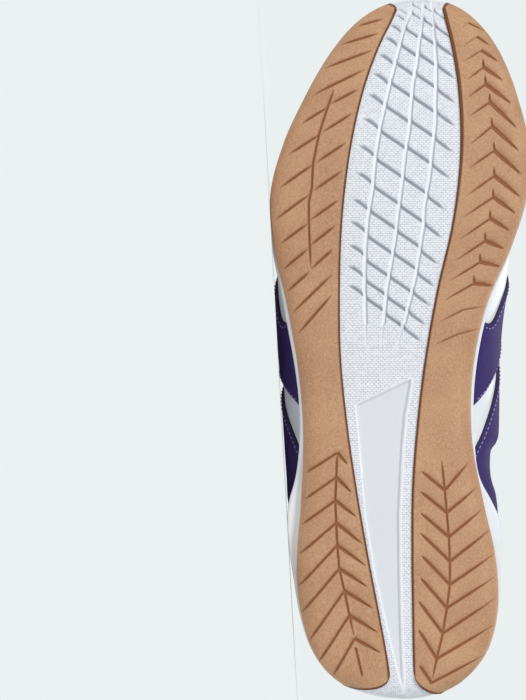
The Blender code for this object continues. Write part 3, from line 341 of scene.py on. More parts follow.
turns = np.linspace(0, math.pi, 280)
grids, pimpled = [], []
for side in SIDES:
    outer, normal = outline_point(side, turns), outline_normal(side, turns)
    over_gum = ground(outer[:, 1]) + wrap_height(turns) + CLEARANCE
    foot = footbed_height(outer[:, 1])
    rim = foot + rim_height(turns)
    taper = HEEL_TAPER * read(SIDEWALL, "taper", turns)
    buried = outer - normal * (OUTSOLE_THICKNESS + CLEARANCE)
    rings = [lifted(buried, ground(outer[:, 1]) + EDGE_RISE), lifted(buried, over_gum)]
    rings.append(lifted(sidewall_point(side, turns, 0.0012), over_gum + 0.1 * MM))
    rings.append(lifted(sidewall_point(side, turns, 0.0003), over_gum + 0.3 * MM))
    for share in np.linspace(0, 1, 20):
        inset = taper * share**1.6 - SIDE_BELLY * np.sin(math.pi * share)
        seam = SEAM_DEPTH * np.exp(-(((share - SEAM_PLACE) / SEAM_WIDTH) ** 2))
        z = over_gum + 0.9 * MM + (rim - over_gum - 1.7 * MM) * share
        rings.append(lifted(sidewall_point(side, turns, inset + seam), z))
    rim_rings = ((taper + 0.3 * MM, 0.2 * MM), (taper + 0.9 * MM, 0.0), (rim_inset(turns) - 0.4 * MM, 0.0))
    for inset, drop in rim_rings:
        rings.append(lifted(sidewall_point(side, turns, inset), rim - drop))
    for z in (rim - 0.4 * MM, foot):
        rings.append(lifted(sidewall_point(side, turns, rim_inset(turns)), z))
    grids.append(np.stack(rings, 0))
    heel_only = (1 - blend(0.27, 0.31, station_of(turns))) * blend(0.10, 0.14, station_of(turns))
    rows = np.zeros(len(rings))
    rows[PIMPLED_RINGS] = 1
    pimpled.append(rows[:, None] * heel_only[None, :])
for level in (0, -1):
    grids.append(np.stack([grids[0][level], grids[1][level]], 0))
    pimpled.append(np.zeros((2, len(turns))))
midsole = new_piece("foam_midsole", grids, [foam], pimpled=pimpled)
show(midsole, "white_foam", "midsole")


# White strip of the outsole
# Non-marking white rubber, moulded between the gum pads and up over the toe and the heel. Under the forefoot
# it has blocks like scales, parted by three smooth channels, and from the arch to the heel a smooth window.

STRIP_SET_BACK = 0.0011
PAD_INNER_EDGE = (
    ("station", "lateral", "medial"),
    (0.000, 0.030, 0.075),
    (0.053, 0.036, 0.059),
    (0.122, 0.070, 0.055),
    (0.214, 0.118, 0.052),
    (0.306, 0.161, 0.055),
    (0.397, 0.196, 0.075),
    (0.489, 0.220, 0.106),
    (0.581, 0.224, 0.150),
    (0.673, 0.216, 0.208),
    (0.765, 0.189, 0.239),
    (0.857, 0.137, 0.236),
    (0.930, 0.067, 0.209),
    (0.965, 0.020, 0.187),
    (1.000, -0.030, 0.165),
)
# The tread is charted in plan squares: columns run from the lateral side and rows from the toe to the heel
SQUARE = SOLE_LENGTH / 697
AXIS_COLUMN, HEEL_ROW = 396, 697
CHANNEL_HALF_WIDTH, CHANNEL_DEPTH, CHANNEL_SHADE = 0.72 * MM, 0.9 * MM, 0.62
# Behind this row the channels go on as hairlines, with these shares of their width and depth
HAIRLINE_ROW, HAIRLINE_WIDTH, HAIRLINE_DEPTH, HAIRLINE_SHADE = 325, 0.20, 0.4, 0.45
STEP_DEPTH, STEP_WALL, STEP_EDGE = 1.2 * MM, 1.8 * MM, 0.25 * MM
# The slope of the steps and how they bend at the two sides of the strip
STEP_LEAN, STEP_BEND = 0.68, 0.35
# In squares: the gaps between the steps and the channels, and the lengths of a row's first and last step
FIRST_GAP, STEP_GAP, FIRST_STEP, LAST_STEP = 1.5, 1.4, 15.5, 18.5
WINDOW_DEPTH, WINDOW_WALL, WINDOW_SHADE, WINDOW_WALL_SHADE = 1.3 * MM, 1.2 * MM, 0.30, 0.50
# The knurl's bricks in millimetres: width, height and joint
KNURL_WIDTH, KNURL_HEIGHT, KNURL_JOINT = 1.75, 0.92, 0.28
CHANNELS = (
    ((410, 16), (403, 33), (396, 58), (389, 84), (384, 106), (379, 128), (374, 158), (371, 191), (366, 222),
     (364, 247), (363, 272), (363, 293), (365, 354)),
    ((422, 11), (421, 28), (418, 44), (415, 67), (411, 88), (409, 109), (407, 134), (403, 157), (400, 185),
     (396, 215), (393, 242), (389, 266), (385, 289), (383, 310), (379, 354)),
    ((430, 3), (432, 21), (433, 42), (434, 63), (434, 84), (433, 106), (433, 127), (430, 151), (427, 180),
     (422, 208), (421, 229), (417, 254), (413, 279), (408, 300), (403, 321), (393, 354)),
)
# The rows where the steps of each column of blocks start, on the channel to their left
STEP_ROWS = (
    (11, 17, 28, 41, 58, 77, 98, 122, 149, 176, 202, 224, 247, 268, 287),
    (7, 17, 33, 50, 68, 88, 111, 136, 164, 191, 215, 240, 264, 284, 301),
    (10, 24, 40, 59, 79, 102, 126, 152, 182, 210, 235, 257, 280, 300, 317),
    (14, 30, 48, 70, 94, 117, 143, 169, 200, 228, 254, 276, 295, 314, 330),
)
WINDOW = (
    ("row", "left", "right"),
    (377, 410, 411),
    (386, 391, 410),
    (404, 354, 407),
    (414, 355, 405),
    (446, 358, 402),
    (515, 364, 398.6),
    (570, 373, 399.2),
    (606, 381, 400),
    (641, 389, 401),
    (676, 398, 402.6),
    (690, 402, 403),
)


def chart_place(points):
    """The chart's column and row of plan points."""
    return AXIS_COLUMN - points[..., 0] / SQUARE, HEEL_ROW - points[..., 1] / SQUARE


def column_at(line, row):
    return np.interp(row, [p[1] for p in line], [p[0] for p in line])


def step_cut(column, row, start, end, size, bent, thin_start, thin_end):
    """One step of the scales: a wall that faces the heel, and a short steep rise to the next block."""
    start_column, start_row = start
    run = end - start_column
    along = (column - start_column) / run
    line = start_row + run * STEP_LEAN * (along - bent * along * (1 - along))
    below = (row - line) * SQUARE
    width = np.full_like(column, STEP_WALL * size)
    if thin_start:
        width = width * np.clip(0.30 + along / 0.6, 0.30, 1.1)
    else:
        width = width * (1 + 0.9 * np.exp(-((along * run / 1.6) ** 2)))
    if thin_end:
        width = width * np.clip(0.25 + (1 - along) / 0.5, 0.25, 1)
    wall = np.clip(1 + below / width, 0, 1) ** 0.7 * np.clip(1 - below / STEP_EDGE, 0, 1)
    ends = np.clip(along / 0.05 + 0.4, 0, 1) * np.clip((1 - along) / 0.05 + 0.2, 0, 1)
    inside = (along > -0.02) & (along < 1.01)
    return np.where(inside, STEP_DEPTH * np.minimum(1, width / STEP_WALL) * wall * ends, 0)


def strip_relief(points):
    """How deep the strip is cut at plan points, where painted shade greys its walls and window, and where its
    knurl is.
    """
    column, row = chart_place(points)
    cut = np.zeros_like(column)
    painted_shade = np.zeros_like(column)
    smooth = np.zeros_like(column)
    hairline = row > HAIRLINE_ROW
    for line in CHANNELS:
        first, last = line[0][1], line[-1][1]
        from_line = (column - column_at(line, row)) * SQUARE
        faded = np.clip((row - first + 8) / 10, 0, 1) * np.clip((last - row) / 22, 0, 1)
        half = CHANNEL_HALF_WIDTH * (0.35 + 0.65 * blend(15, 70, row)) * np.where(hairline, HAIRLINE_WIDTH, 1)
        channel = np.clip((half + 0.25 * MM - np.abs(from_line)) / (0.45 * MM), 0, 1) * faded
        cut = np.maximum(cut, channel * CHANNEL_DEPTH * np.where(hairline, HAIRLINE_DEPTH, 1))
        edge = np.clip((half + 0.35 * MM - np.abs(from_line)) / (0.2 * MM), 0, 1)
        smooth = np.maximum(smooth, edge * faded)
        # Painted shade on the wall at the right side of each channel
        side_wall = np.clip(1.6 * (1 - np.abs(from_line - half - 0.1 * MM) / (0.50 * MM)), 0, 1) * faded
        shade = np.where(row < HAIRLINE_ROW, CHANNEL_SHADE, HAIRLINE_SHADE)
        painted_shade = np.maximum(painted_shade, shade * side_wall * blend(8, 30, row))
    for k, rows in enumerate(STEP_ROWS):
        for start_row in rows:
            size = min(1.0, 0.45 + start_row / 80)
            if k == 0:
                end = column_at(CHANNELS[0], start_row + 12) - FIRST_GAP
                start = (end - FIRST_STEP * min(1, 0.55 + start_row / 150), start_row)
                here = step_cut(column, row, start, end, size, STEP_BEND, True, False)
            else:
                start = (column_at(CHANNELS[k - 1], start_row) + STEP_GAP, start_row)
                end = start[0] + LAST_STEP * min(1, 0.75 + start_row / 200)
                if k < 3:
                    end = column_at(CHANNELS[k], start_row + 13) - STEP_GAP
                here = step_cut(column, row, start, end, size, 0.0 if k < 3 else -STEP_BEND, False, k == 3)
            cut = np.maximum(cut, here)
            # Painted shade on the walls of the steps
            painted_shade = np.maximum(painted_shade, np.clip(1.35 * here / STEP_DEPTH, 0, 1))
    rows = [r[0] for r in WINDOW[1:]]
    left = np.interp(row, rows, [r[1] for r in WINDOW[1:]])
    right = np.interp(row, rows, [r[2] for r in WINDOW[1:]])
    top = rows[0] + (rows[2] - rows[0]) * (411 - column) / (411 - 354)
    inside = np.minimum(np.minimum(column - left, (right - column) * 0.8), (row - top) * 0.9) * SQUARE
    inside = np.where((row > rows[0]) & (row < rows[-1]), inside, -1)
    cut = np.maximum(cut, WINDOW_DEPTH * np.clip(inside / WINDOW_WALL, 0, 1))
    smooth = np.maximum(smooth, np.clip((inside + 0.5 * MM) / (0.3 * MM), 0, 1))
    # Painted shade in the sunk window and, below, on its right wall
    painted_shade = np.maximum(painted_shade, WINDOW_SHADE * (inside > 0.4 * MM))
    from_right = (right - column) * SQUARE
    right_wall = np.clip(1.6 - np.abs(from_right - 0.9 * MM) / (0.8 * MM), 0, 1)
    right_wall = right_wall * blend(0.20 * MM, 0.8 * MM, inside)
    painted_shade = np.maximum(painted_shade, WINDOW_WALL_SHADE * right_wall)
    smooth = np.maximum(smooth, np.clip(painted_shade * 3 - 0.6, 0, 1))
    return cut, painted_shade, 1 - np.clip(smooth, 0, 1)


# White rubber: satin, with a knurl like tiny bricks that runs on up the toe and the heel. Painted shade greys
# the sunk joints of the knurl, and the walls of the steps, the channels and the window.
white_rubber, tree, shader, place = new_material(
    "moulded_white_rubber", "#e9ebf1", 0.45, Specular_IOR_Level=0.4
)
own = add(tree, "ShaderNodeAttribute", attribute_name="own_place").outputs["Vector"]
parts = add(tree, "ShaderNodeSeparateXYZ", {"Vector": own}).outputs
end = add(tree, "ShaderNodeMath", {0: parts["Y"], 1: SOLE_LENGTH / MM / 2}, operation="SUBTRACT").outputs[0]
end = add(tree, "ShaderNodeMath", {0: end}, operation="SIGN").outputs[0]
unrolled = add(
    tree, "ShaderNodeMath", {0: end, 1: parts["Z"], 2: parts["Y"]}, operation="MULTIPLY_ADD"
).outputs[0]
flat = add(tree, "ShaderNodeCombineXYZ", {"X": parts["X"], "Y": unrolled}).outputs[0]
bricks = add(
    tree,
    "ShaderNodeTexBrick",
    {"Vector": flat, "Scale": 1.0, "Mortar Size": KNURL_JOINT, "Mortar Smooth": 1.0,
     "Brick Width": KNURL_WIDTH, "Row Height": KNURL_HEIGHT},
).outputs["Fac"]
knurled = add(tree, "ShaderNodeAttribute", attribute_name="knurl").outputs["Fac"]
joints = add(tree, "ShaderNodeMath", {0: bricks, 1: knurled}, operation="MULTIPLY").outputs[0]
breaks = add(tree, "ShaderNodeTexNoise", {"Vector": own, "Scale": 0.8, "Detail": 1.0}).outputs["Fac"]
breaks = add(tree, "ShaderNodeMapRange", {"Value": breaks, 1: 0.35, 2: 0.60, 3: 0.45, 4: 1.0}).outputs[0]
# Painted shade in the knurl's sunk joints, made patchy by noise
shaded_joints = add(tree, "ShaderNodeMath", {0: joints, 1: breaks}, operation="MULTIPLY").outputs[0]
shaded_joints = add(tree, "ShaderNodeMath", {0: shaded_joints, 1: 0.75}, operation="MULTIPLY").outputs[0]
colour = add(
    tree, "ShaderNodeMix", {0: shaded_joints, 6: linear("#e9eaef"), 7: linear("#a2a6b2")}, data_type="RGBA"
).outputs[2]
# The wall attribute holds painted shade: the strip turns grey on its step walls, channel sides and sunk
# window
painted_shade = add(tree, "ShaderNodeAttribute", attribute_name="wall").outputs["Fac"]
painted_shade = add(tree, "ShaderNodeMapRange", {"Value": painted_shade, 1: 0.10, 2: 0.80, 3: 0.0, 4: 0.88}).outputs[0]
colour = add(tree, "ShaderNodeMix", {0: painted_shade, 6: colour, 7: linear("#878c99")}, data_type="RGBA").outputs[2]
tree.links.new(colour, shader.inputs["Base Color"])
low_bump = add(tree, "ShaderNodeBump", {"Height": shaded_joints, "Distance": -0.14 * MM})
tree.links.new(low_bump.outputs[0], shader.inputs["Normal"])


def outline_distance(points):
    """How far inside the outline plan points lie."""
    turns = np.linspace(0, math.pi, 241)
    loop = np.concatenate((outline_point(LATERAL, turns), outline_point(MEDIAL, turns[-2:0:-1])))
    best = np.full(points.shape[:-1], 9.0)
    for a, b in zip(loop, np.roll(loop, -1, axis=0)):
        run = b - a
        share = np.clip(((points - a) @ run) / (run @ run), 0, 1)
        best = np.minimum(best, np.linalg.norm(points - a - share[..., None] * run, axis=-1))
    return best


ROWS = 790
COLUMN_COUNTS = (19, 12, 21, 12, 21, 12, 19)
TOE_REACH = {LATERAL: 3.5 * MM, MEDIAL: 23.5 * MM}
HEEL_REACH = {LATERAL: 25 * MM, MEDIAL: 25 * MM}
TIP_INSET = 0.6 * MM
station = np.interp(np.linspace(0, 1, ROWS), (0, 0.25, 1), (0, 0.40, 1))[:, None]
turns = np.linspace(0, math.pi * 0.22, 300)
heel_arc = np.concatenate((outline_point(LATERAL, turns)[::-1], outline_point(MEDIAL, turns)))
toe_arc = np.concatenate(
    (outline_point(LATERAL, math.pi - turns)[::-1], outline_point(MEDIAL, math.pi - turns))
)
heel_arc, toe_arc = heel_arc[np.argsort(heel_arc[:, 0])], toe_arc[np.argsort(toe_arc[:, 0])]
edges = {}
for side in SIDES:
    under = side * (BALL_WIDTH * read(PAD_INNER_EDGE, side_name(side), turn_of(station)) + 2.5 * MM)
    near_toe, near_heel = blend(0.955, 0.995, station), blend(0.05, 0.0, station)
    under = under * (1 - near_toe) + side * TOE_REACH[side] * near_toe
    edges[side] = under * (1 - near_heel) + side * HEEL_REACH[side] * near_heel
# The grid's lines follow the channels, and further back the sides of the window
row = HEEL_ROW * (1 - station)
window_rows = [r[0] for r in WINDOW[1:]]
full_row = np.maximum(row, WINDOW[3][0])
left, right = (np.interp(full_row, window_rows, [r[k] for r in WINDOW[1:]]) for k in (1, 2))
in_window = blend(335, 400, row)
in_heel = blend(590, 670, row)
knots = [0 * station]
reach = np.minimum(1.3 * MM / (edges[LATERAL] - edges[MEDIAL]), 0.045)
for k, behind in enumerate((left, (left + right) / 2, right)):
    followed = column_at(CHANNELS[k], row) * (1 - in_window) + behind * in_window
    share = (edges[LATERAL] - (AXIS_COLUMN - followed) * SQUARE) / (edges[LATERAL] - edges[MEDIAL])
    share = share * (1 - in_heel) + (k + 1) / 4 * in_heel
    knots += [share - reach, share + reach]
knots.append(0 * station + 1)
across = [a + (b - a) * np.arange(n) / n for a, b, n in zip(knots, knots[1:], COLUMN_COUNTS)]
across = np.concatenate((*across, knots[-1]), 1)
heel_x = HEEL_REACH[LATERAL] - (HEEL_REACH[LATERAL] + HEEL_REACH[MEDIAL]) * across
toe_x = TOE_REACH[LATERAL] - (TOE_REACH[LATERAL] + TOE_REACH[MEDIAL]) * across
heel_y = np.interp(heel_x, *heel_arc.T) + TIP_INSET
toe_y = np.interp(toe_x, *toe_arc.T) - TIP_INSET
y = heel_y + (toe_y - heel_y) * station
plan = np.stack((edges[LATERAL] + (edges[MEDIAL] - edges[LATERAL]) * across, y), -1)
cut, wall, knurl = strip_relief(plan)
distance = outline_distance(plan) + STRIP_SET_BACK - TIP_INSET
skin_height = ground(plan[..., 1]) + shell_height(distance, STRIP_SET_BACK)
strip_grid = lifted(plan, skin_height + cut * np.clip(distance / (4 * MM), 0.15, 1))
# wall holds the painted shade of the strip's walls and window
layers = [strip_grid, wall, knurl]
for index in (0, -1):
    edge = plan[index]
    top = wrap_height(turn_of(edge[:, 1] / SOLE_LENGTH)) + 0.5 * MM
    for lift in (0.2, 0.45, 0.7, 1.0):
        row = lifted(edge, ground(edge[:, 1]) + EDGE_RISE + (top - EDGE_RISE) * lift)
        extra = [row, np.zeros(len(edge)), np.ones(len(edge))]
        for k, new_row in enumerate(extra):
            pair = (new_row[None], layers[k]) if index == 0 else (layers[k], new_row[None])
            layers[k] = np.concatenate(pair)
strip = new_piece("white_rubber_strip", [layers[0]], [white_rubber], wall=[layers[1]], knurl=[layers[2]])
show(strip, "white_rubber", "outsole_strip")


# Gum pads of the outsole
# Natural gum rubber, one pad along each side, moulded proud of the white strip. Leaf-like grooves cut them
# under the heel and the ball, and their outer edges curl up the side of the midsole.

GROOVE_WIDTH, GROOVE_DEPTH = 0.55 * MM, 0.9 * MM
SOFT_DEPTH = 0.40
DEEPEST_GROOVE = 0.85 * MM
# The stations at which each pad ends by the strip and on the outline, and how far its ends bulge
PAD_ENDS = {
    LATERAL: {
        "inner": (0.0359, 0.9822),
        "outer": (0.0244, 0.9928),
        "heel_bulge": 4.5 * MM,
        "toe_bulge": 0.9 * MM,
    },
    MEDIAL: {
        "inner": (0.0416, 0.9825),
        "outer": (0.0115, 0.9945),
        "heel_bulge": 4.5 * MM,
        "toe_bulge": 0.5 * MM,
    },
}
# How the pads' ends bulge, from the inner edge, 0, to the outline, 1
END_ROUNDING = (
    (0, 0.05, 0.12, 0.22, 0.35, 0.55, 0.78, 0.90, 1),
    (0, 0.50, 0.78, 0.96, 1.00, 0.93, 0.62, 0.35, 0),
)
# The grooves by chart column and row. A leaf has a left arm and a right arm that meet on its spine.
LEAF_NAMES = ("left_column", "left_row", "spine_column", "spine_row", "right_column", "right_row")
LATERAL_HEEL = (
    LEAF_NAMES,
    (305, 472, 336, 452, 346, 463),
    (304, 498, 335, 476, 350, 491),
    (301, 523, 334, 499, 355, 515),
    (299, 552, 335, 521, 360, 541),
    (298, 584, 336, 543, 364, 563),
    (301, 610, 338, 566, 366, 584),
    (308, 638, 343, 588, 371, 605),
    (317, 660, 348, 612, 376, 629),
    (332, 672, 353, 635, 379, 649),
)
MEDIAL_HEEL = (
    LEAF_NAMES,
    (419, 470, 442, 489, 466, 461),
    (418, 490, 444, 511, 474, 486),
    (418, 511, 446, 535, 480, 507),
    (418, 531, 447, 559, 488, 527),
    (419, 553, 447, 582, 492, 551),
    (418, 575, 444, 605, 492, 574),
    (416, 598, 440, 630, 493, 595),
    (416, 626, 434, 655, 492, 621),
    (417, 661, 429, 679, 482, 651),
)
MEDIAL_BALL = (
    LEAF_NAMES,
    (457, 33, 467, 26, 484, 34),
    (460, 50, 475, 40, 488, 49),
    (460, 66, 479, 54, 496, 65),
    (464, 84, 481, 71, 500, 84),
    (465, 101, 483, 88, 508, 107),
    (466, 120, 487, 106, 513, 131),
    (467, 148, 489, 130, 515, 154),
    (465, 172, 491, 154, 518, 178),
    (463, 199, 491, 179, 517, 200),
    (460, 220, 490, 200, 512, 216),
    (456, 242, 487, 221, 506, 233),
    (452, 263, 482, 243, 501, 251),
    (446, 283, 477, 264, 497, 268),
    (441, 302, 471, 285, 490, 287),
    (437, 323, 460, 311, 484, 307),
    (433, 345, 455, 335, 478, 329),
)
LATERAL_BALL = (
    ("inner_column", "inner_row", "outer_column", "outer_row"),
    (382, 22, 357, 29),
    (377, 37, 340, 48),
    (371, 54, 323, 72),
    (364, 73, 311, 99),
    (357, 93, 329, 108),
    (327, 111, 301, 127),
    (351, 117, 321, 136),
    (319, 138, 288, 158),
    (345, 146, 315, 166),
    (313, 167, 279, 191),
    (341, 174, 312, 194),
    (309, 197, 275, 222),
    (337, 203, 309, 223),
    (307, 226, 280, 246),
    (334, 228, 309, 248),
    (307, 251, 283, 271),
    (332, 251, 310, 271),
    (309, 273, 287, 293),
    (331, 276, 292, 314),
    (331, 296, 297, 335),
)
SPINES = {
    LATERAL: (
        ((333, 93), (327, 110), (323, 122), (318, 138), (315, 152), (312, 168), (311, 190), (308, 205),
         (308, 225), (309, 250), (310, 272)),
        ((336, 452), (335, 476), (334, 499), (335, 521), (336, 543), (338, 566), (343, 588), (348, 612),
         (353, 635)),
        ((354, 643), (361, 673)),
    ),
    MEDIAL: (
        ((439, 459), (442, 489), (444, 511), (446, 535), (447, 559), (447, 582), (444, 605), (440, 630),
         (434, 655), (429, 679)),
    ),
}
# The leaves of each side with the sizes of their left and right arms, and the size of the spines
LEAVES = {
    LATERAL: ((LATERAL_HEEL, 1.0, 1.45),),
    MEDIAL: ((MEDIAL_HEEL, 1.3, 1.12), (MEDIAL_BALL, 0.85, 1.65)),
}
SPINE_WIDTH, SPINE_DEPTH = 1.1, 0.85
# The last leaves under the medial ball are plain thin lines
THIN_LEAF_ROW, THIN_LEAF = 300, 0.72


def groove(points, line, width, depth, start_thin, end_thin):
    """The depth at plan points of a groove along a charted line that thins out towards its ends. On its side
    towards the toe the rubber falls softly into it."""
    line = np.array([((AXIS_COLUMN - c) * SQUARE, (HEEL_ROW - r) * SQUARE) for c, r in line])
    lengths = np.linalg.norm(np.diff(line, axis=0), axis=1)
    low, high = line.min(0) - 5 * width, line.max(0) + 5 * width
    near = ((points > low) & (points < high)).all(-1)
    close = points[near]
    deepest = np.zeros(len(close))
    walked = 0.0
    for a, b, length in zip(line, line[1:], lengths):
        run = b - a
        share = np.clip(((close - a) @ run) / (run @ run), 0, 1)
        away = np.linalg.norm(close - a - share[:, None] * run, axis=-1)
        along = (walked + share * length) / lengths.sum()
        thin = np.clip(along / max(start_thin, 1e-6), 0, 1) * np.clip((1 - along) / max(end_thin, 1e-6), 0, 1)
        half = width * (0.40 + 0.60 * thin)
        cut = depth * thin**0.4 * np.clip(2.0 * (1 - away / half), 0, 1)
        toeward = run[0] * (close[:, 1] - a[1]) - run[1] * (close[:, 0] - a[0])
        toeward = (toeward * np.sign(run[0]) > 0) & (abs(run[0]) > 0.25 * abs(run[1]))
        soft = SOFT_DEPTH * depth * thin * np.clip(1 - away / (4.2 * width), 0, 1) ** 1.5
        deepest = np.maximum(deepest, np.maximum(cut, np.where(toeward, soft, 0)))
        walked += length
    cut = np.zeros(points.shape[:-1])
    cut[near] = deepest
    return cut


def pad_relief(side, points):
    """How deep a pad's grooves are at plan points."""
    found = [np.zeros(points.shape[:-1])]

    def carve(line, width, depth, start_thin, end_thin):
        found[0] = np.maximum(
            found[0], groove(points, line, GROOVE_WIDTH * width, GROOVE_DEPTH * depth, start_thin, end_thin)
        )

    for table, left_size, right_size in LEAVES[side]:
        for left_column, left_row, spine_column, spine_row, right_column, right_row in table[1:]:
            spine = (spine_column, spine_row)
            faint = float(blend(15, 85, spine_row)) * 0.5 + 0.5
            left, right = left_size * faint, right_size * faint
            if table is MEDIAL_BALL and spine_row > THIN_LEAF_ROW:
                left, right = THIN_LEAF, THIN_LEAF
            carve((spine, (left_column, left_row)), left, left, 0, 0.5 if left_size < 1 else 0.2)
            carve((spine, (right_column, right_row)), right, right, 0, 0.55)
    for line in SPINES[side]:
        carve(line, SPINE_WIDTH, SPINE_DEPTH, 0.05, 0.10)
    if side == LATERAL:
        for inner_column, inner_row, outer_column, outer_row in LATERAL_BALL[1:]:
            carve(((inner_column, inner_row), (outer_column, outer_row)), 1.05, 0.95, 0.25, 0.3)
    else:
        for leaf in MEDIAL_BALL[4:-2]:
            carve(((leaf[2], leaf[3]), (leaf[2] - 0.5, leaf[3] - 9)), 1.1, 0.9, 0, 0.5)
    return np.minimum(found[0], DEEPEST_GROOVE)


# Gum rubber: matt and warm, a little mottled, with specks of paler and darker grain about 0.5 mm across.
# Painted shade darkens it in the grooves and makes it nearly black-brown along the edge by the white strip
# and at the pads' ends.
gum, tree, shader, place = new_material("moulded_gum_rubber", "#bd926f", 0.6, Specular_IOR_Level=0.3)
broad = add(tree, "ShaderNodeTexNoise", {"Vector": place, "Scale": 60.0, "Detail": 3.0}).outputs["Fac"]
broad = add(tree, "ShaderNodeMapRange", {"Value": broad, 1: 0.35, 2: 0.65, 3: 0.0, 4: 0.8}).outputs[0]
colour = add(
    tree, "ShaderNodeMix", {0: broad, 6: linear("#bd926f"), 7: linear("#b18564")}, data_type="RGBA"
).outputs[2]
grain = add(tree, "ShaderNodeTexNoise", {"Vector": place, "Scale": 1300.0, "Detail": 2.0}).outputs["Fac"]
light = add(tree, "ShaderNodeMapRange", {"Value": grain, 1: 0.53, 2: 0.70, 3: 0.0, 4: 0.45}).outputs[0]
colour = add(tree, "ShaderNodeMix", {0: light, 6: colour, 7: linear("#cfa885")}, data_type="RGBA").outputs[2]
dark = add(tree, "ShaderNodeMapRange", {"Value": grain, 1: 0.47, 2: 0.30, 3: 0.0, 4: 0.45}).outputs[0]
colour = add(tree, "ShaderNodeMix", {0: dark, 6: colour, 7: linear("#986d4a")}, data_type="RGBA").outputs[2]
# Painted shade in the grooves, darker where they are cut deeper
groove_shade = add(tree, "ShaderNodeAttribute", attribute_name="cut").outputs["Fac"]
groove_shade = add(
    tree, "ShaderNodeMapRange", {"Value": groove_shade, 1: 0.08, 2: 0.80, 3: 0.0, 4: 0.92}
).outputs[0]
colour = add(
    tree, "ShaderNodeMix", {0: groove_shade, 6: colour, 7: linear("#8a522c")}, data_type="RGBA"
).outputs[2]
# Painted shade along the inner edge by the white strip and at the pads' ends
painted_edge_shade = add(tree, "ShaderNodeAttribute", attribute_name="edge").outputs["Fac"]
colour = add(
    tree, "ShaderNodeMix", {0: painted_edge_shade, 6: colour, 7: linear("#633519")}, data_type="RGBA"
).outputs[2]
tree.links.new(colour, shader.inputs["Base Color"])
low_bump = add(tree, "ShaderNodeBump", {"Height": grain, "Distance": 0.05 * MM})
tree.links.new(low_bump.outputs[0], shader.inputs["Normal"])

ROWS, COLUMNS = 770, 116
END_CAP_DEPTH = 2.6 * MM
# Along the inner edge: how far in from it, how far up, and how dark its painted shade is
EDGE_BEVEL = (
    (0.0, 2.6 * MM, 1.0),
    (0.02 * MM, 0.6 * MM, 1.0),
    (0.38 * MM, 0.4 * MM, 1.0),
    (0.72 * MM, 0.15 * MM, 0.9),
    (1.00 * MM, 0.02 * MM, 0.2),
)
for side in SIDES:
    ends = PAD_ENDS[side]
    share = np.linspace(0, 1, ROWS)
    inner_station = ends["inner"][0] + share * (ends["inner"][1] - ends["inner"][0])
    outer_turn = turn_of(ends["outer"][0] + share * (ends["outer"][1] - ends["outer"][0]))
    inner_x = side * BALL_WIDTH * read(PAD_INNER_EDGE, side_name(side), turn_of(inner_station))
    inner = np.stack((inner_x, SOLE_LENGTH * inner_station), -1)[:, None]
    outer = outline_point(side, outer_turn)[:, None]
    width = np.linalg.norm(outer - inner, axis=-1)
    bevel = np.array([b[0] for b in EDGE_BEVEL])[None, :] / width
    rest = np.linspace(1.3 * MM / width[:, 0], 1, COLUMNS).T
    across = np.concatenate((bevel, rest), 1)
    plan = inner + (outer - inner) * across[..., None]
    near_heel = np.clip(1 - share / 0.05, 0, 1)[:, None] ** 2
    near_toe = np.clip((share - 0.97) / 0.03, 0, 1)[:, None] ** 2
    rounding = curve_through(*END_ROUNDING, across)
    plan[..., 1] += (ends["toe_bulge"] * near_toe - ends["heel_bulge"] * near_heel) * rounding
    cut = pad_relief(side, plan)
    z = ground(plan[..., 1]) + shell_height(outline_distance(plan), 0.0) + cut
    # edge holds the painted shade along the inner edge
    edge = np.zeros_like(z)
    for k, (_, lift, shade_share) in enumerate(EDGE_BEVEL):
        z[:, k] += lift
        edge[:, k] = shade_share
    # A wider band of painted shade along the medial pad's inner edge, widest towards the toe
    if side == MEDIAL:
        shade_width = (0.8 + 0.9 * blend(0.62, 0.86, inner_station)) * MM
        from_inner = across * width
        edge = np.maximum(edge, np.clip(4 * (1 - from_inner / shade_width[:, None]), 0, 0.9))
    side_rows = []
    normal = outline_normal(side, outer_turn)
    wall_plan = outer[:, 0]
    top = wrap_height(outer_turn)
    for lift, back in ((0.35, 0), (0.7, 0), (0.95, 0.1 * MM), (1.03, 0.5 * MM), (1.03, OUTSOLE_THICKNESS)):
        height = ground(wall_plan[:, 1]) + EDGE_RISE + (top - EDGE_RISE) * lift
        side_rows.append(lifted(wall_plan - normal * back, height))
    layers = [lifted(plan, z), cut / GROOVE_DEPTH, edge]
    flat_rows = np.zeros((ROWS, len(side_rows)))
    side_layers = (np.stack(side_rows, 1), flat_rows, flat_rows)
    layers = [np.concatenate((a, b), 1) for a, b in zip(layers, side_layers)]
    for index in (0, -1):
        under = layers[0][index].copy()
        tread = plan.shape[1]
        under[:tread, 2] += END_CAP_DEPTH
        under[tread:, :2] -= normal[index] * END_CAP_DEPTH
        # Painted shade on the pad's end caps and on the rows beside them
        rows = (under, np.zeros(len(under)), np.ones(len(under)))
        for k, row in enumerate(rows):
            layers[k] = np.concatenate((row[None], layers[k]) if index == 0 else (layers[k], row[None]))
        for near in ((1, 2) if index == 0 else (-2, -3)):
            layers[2][near] = np.maximum(layers[2][near], 0.95)
    pad = new_piece("gum_pad_" + side_name(side), [layers[0]], [gum], cut=[layers[1]], edge=[layers[2]])
    show(pad, "gum_rubber", "outsole_pad_" + side_name(side))


# Upper
# White synthetic leather on a padded knit lining, pulled over the last and glued into the midsole's rim. The
# collar is padded with foam, and the vamp has a few soft creases from the first wear.

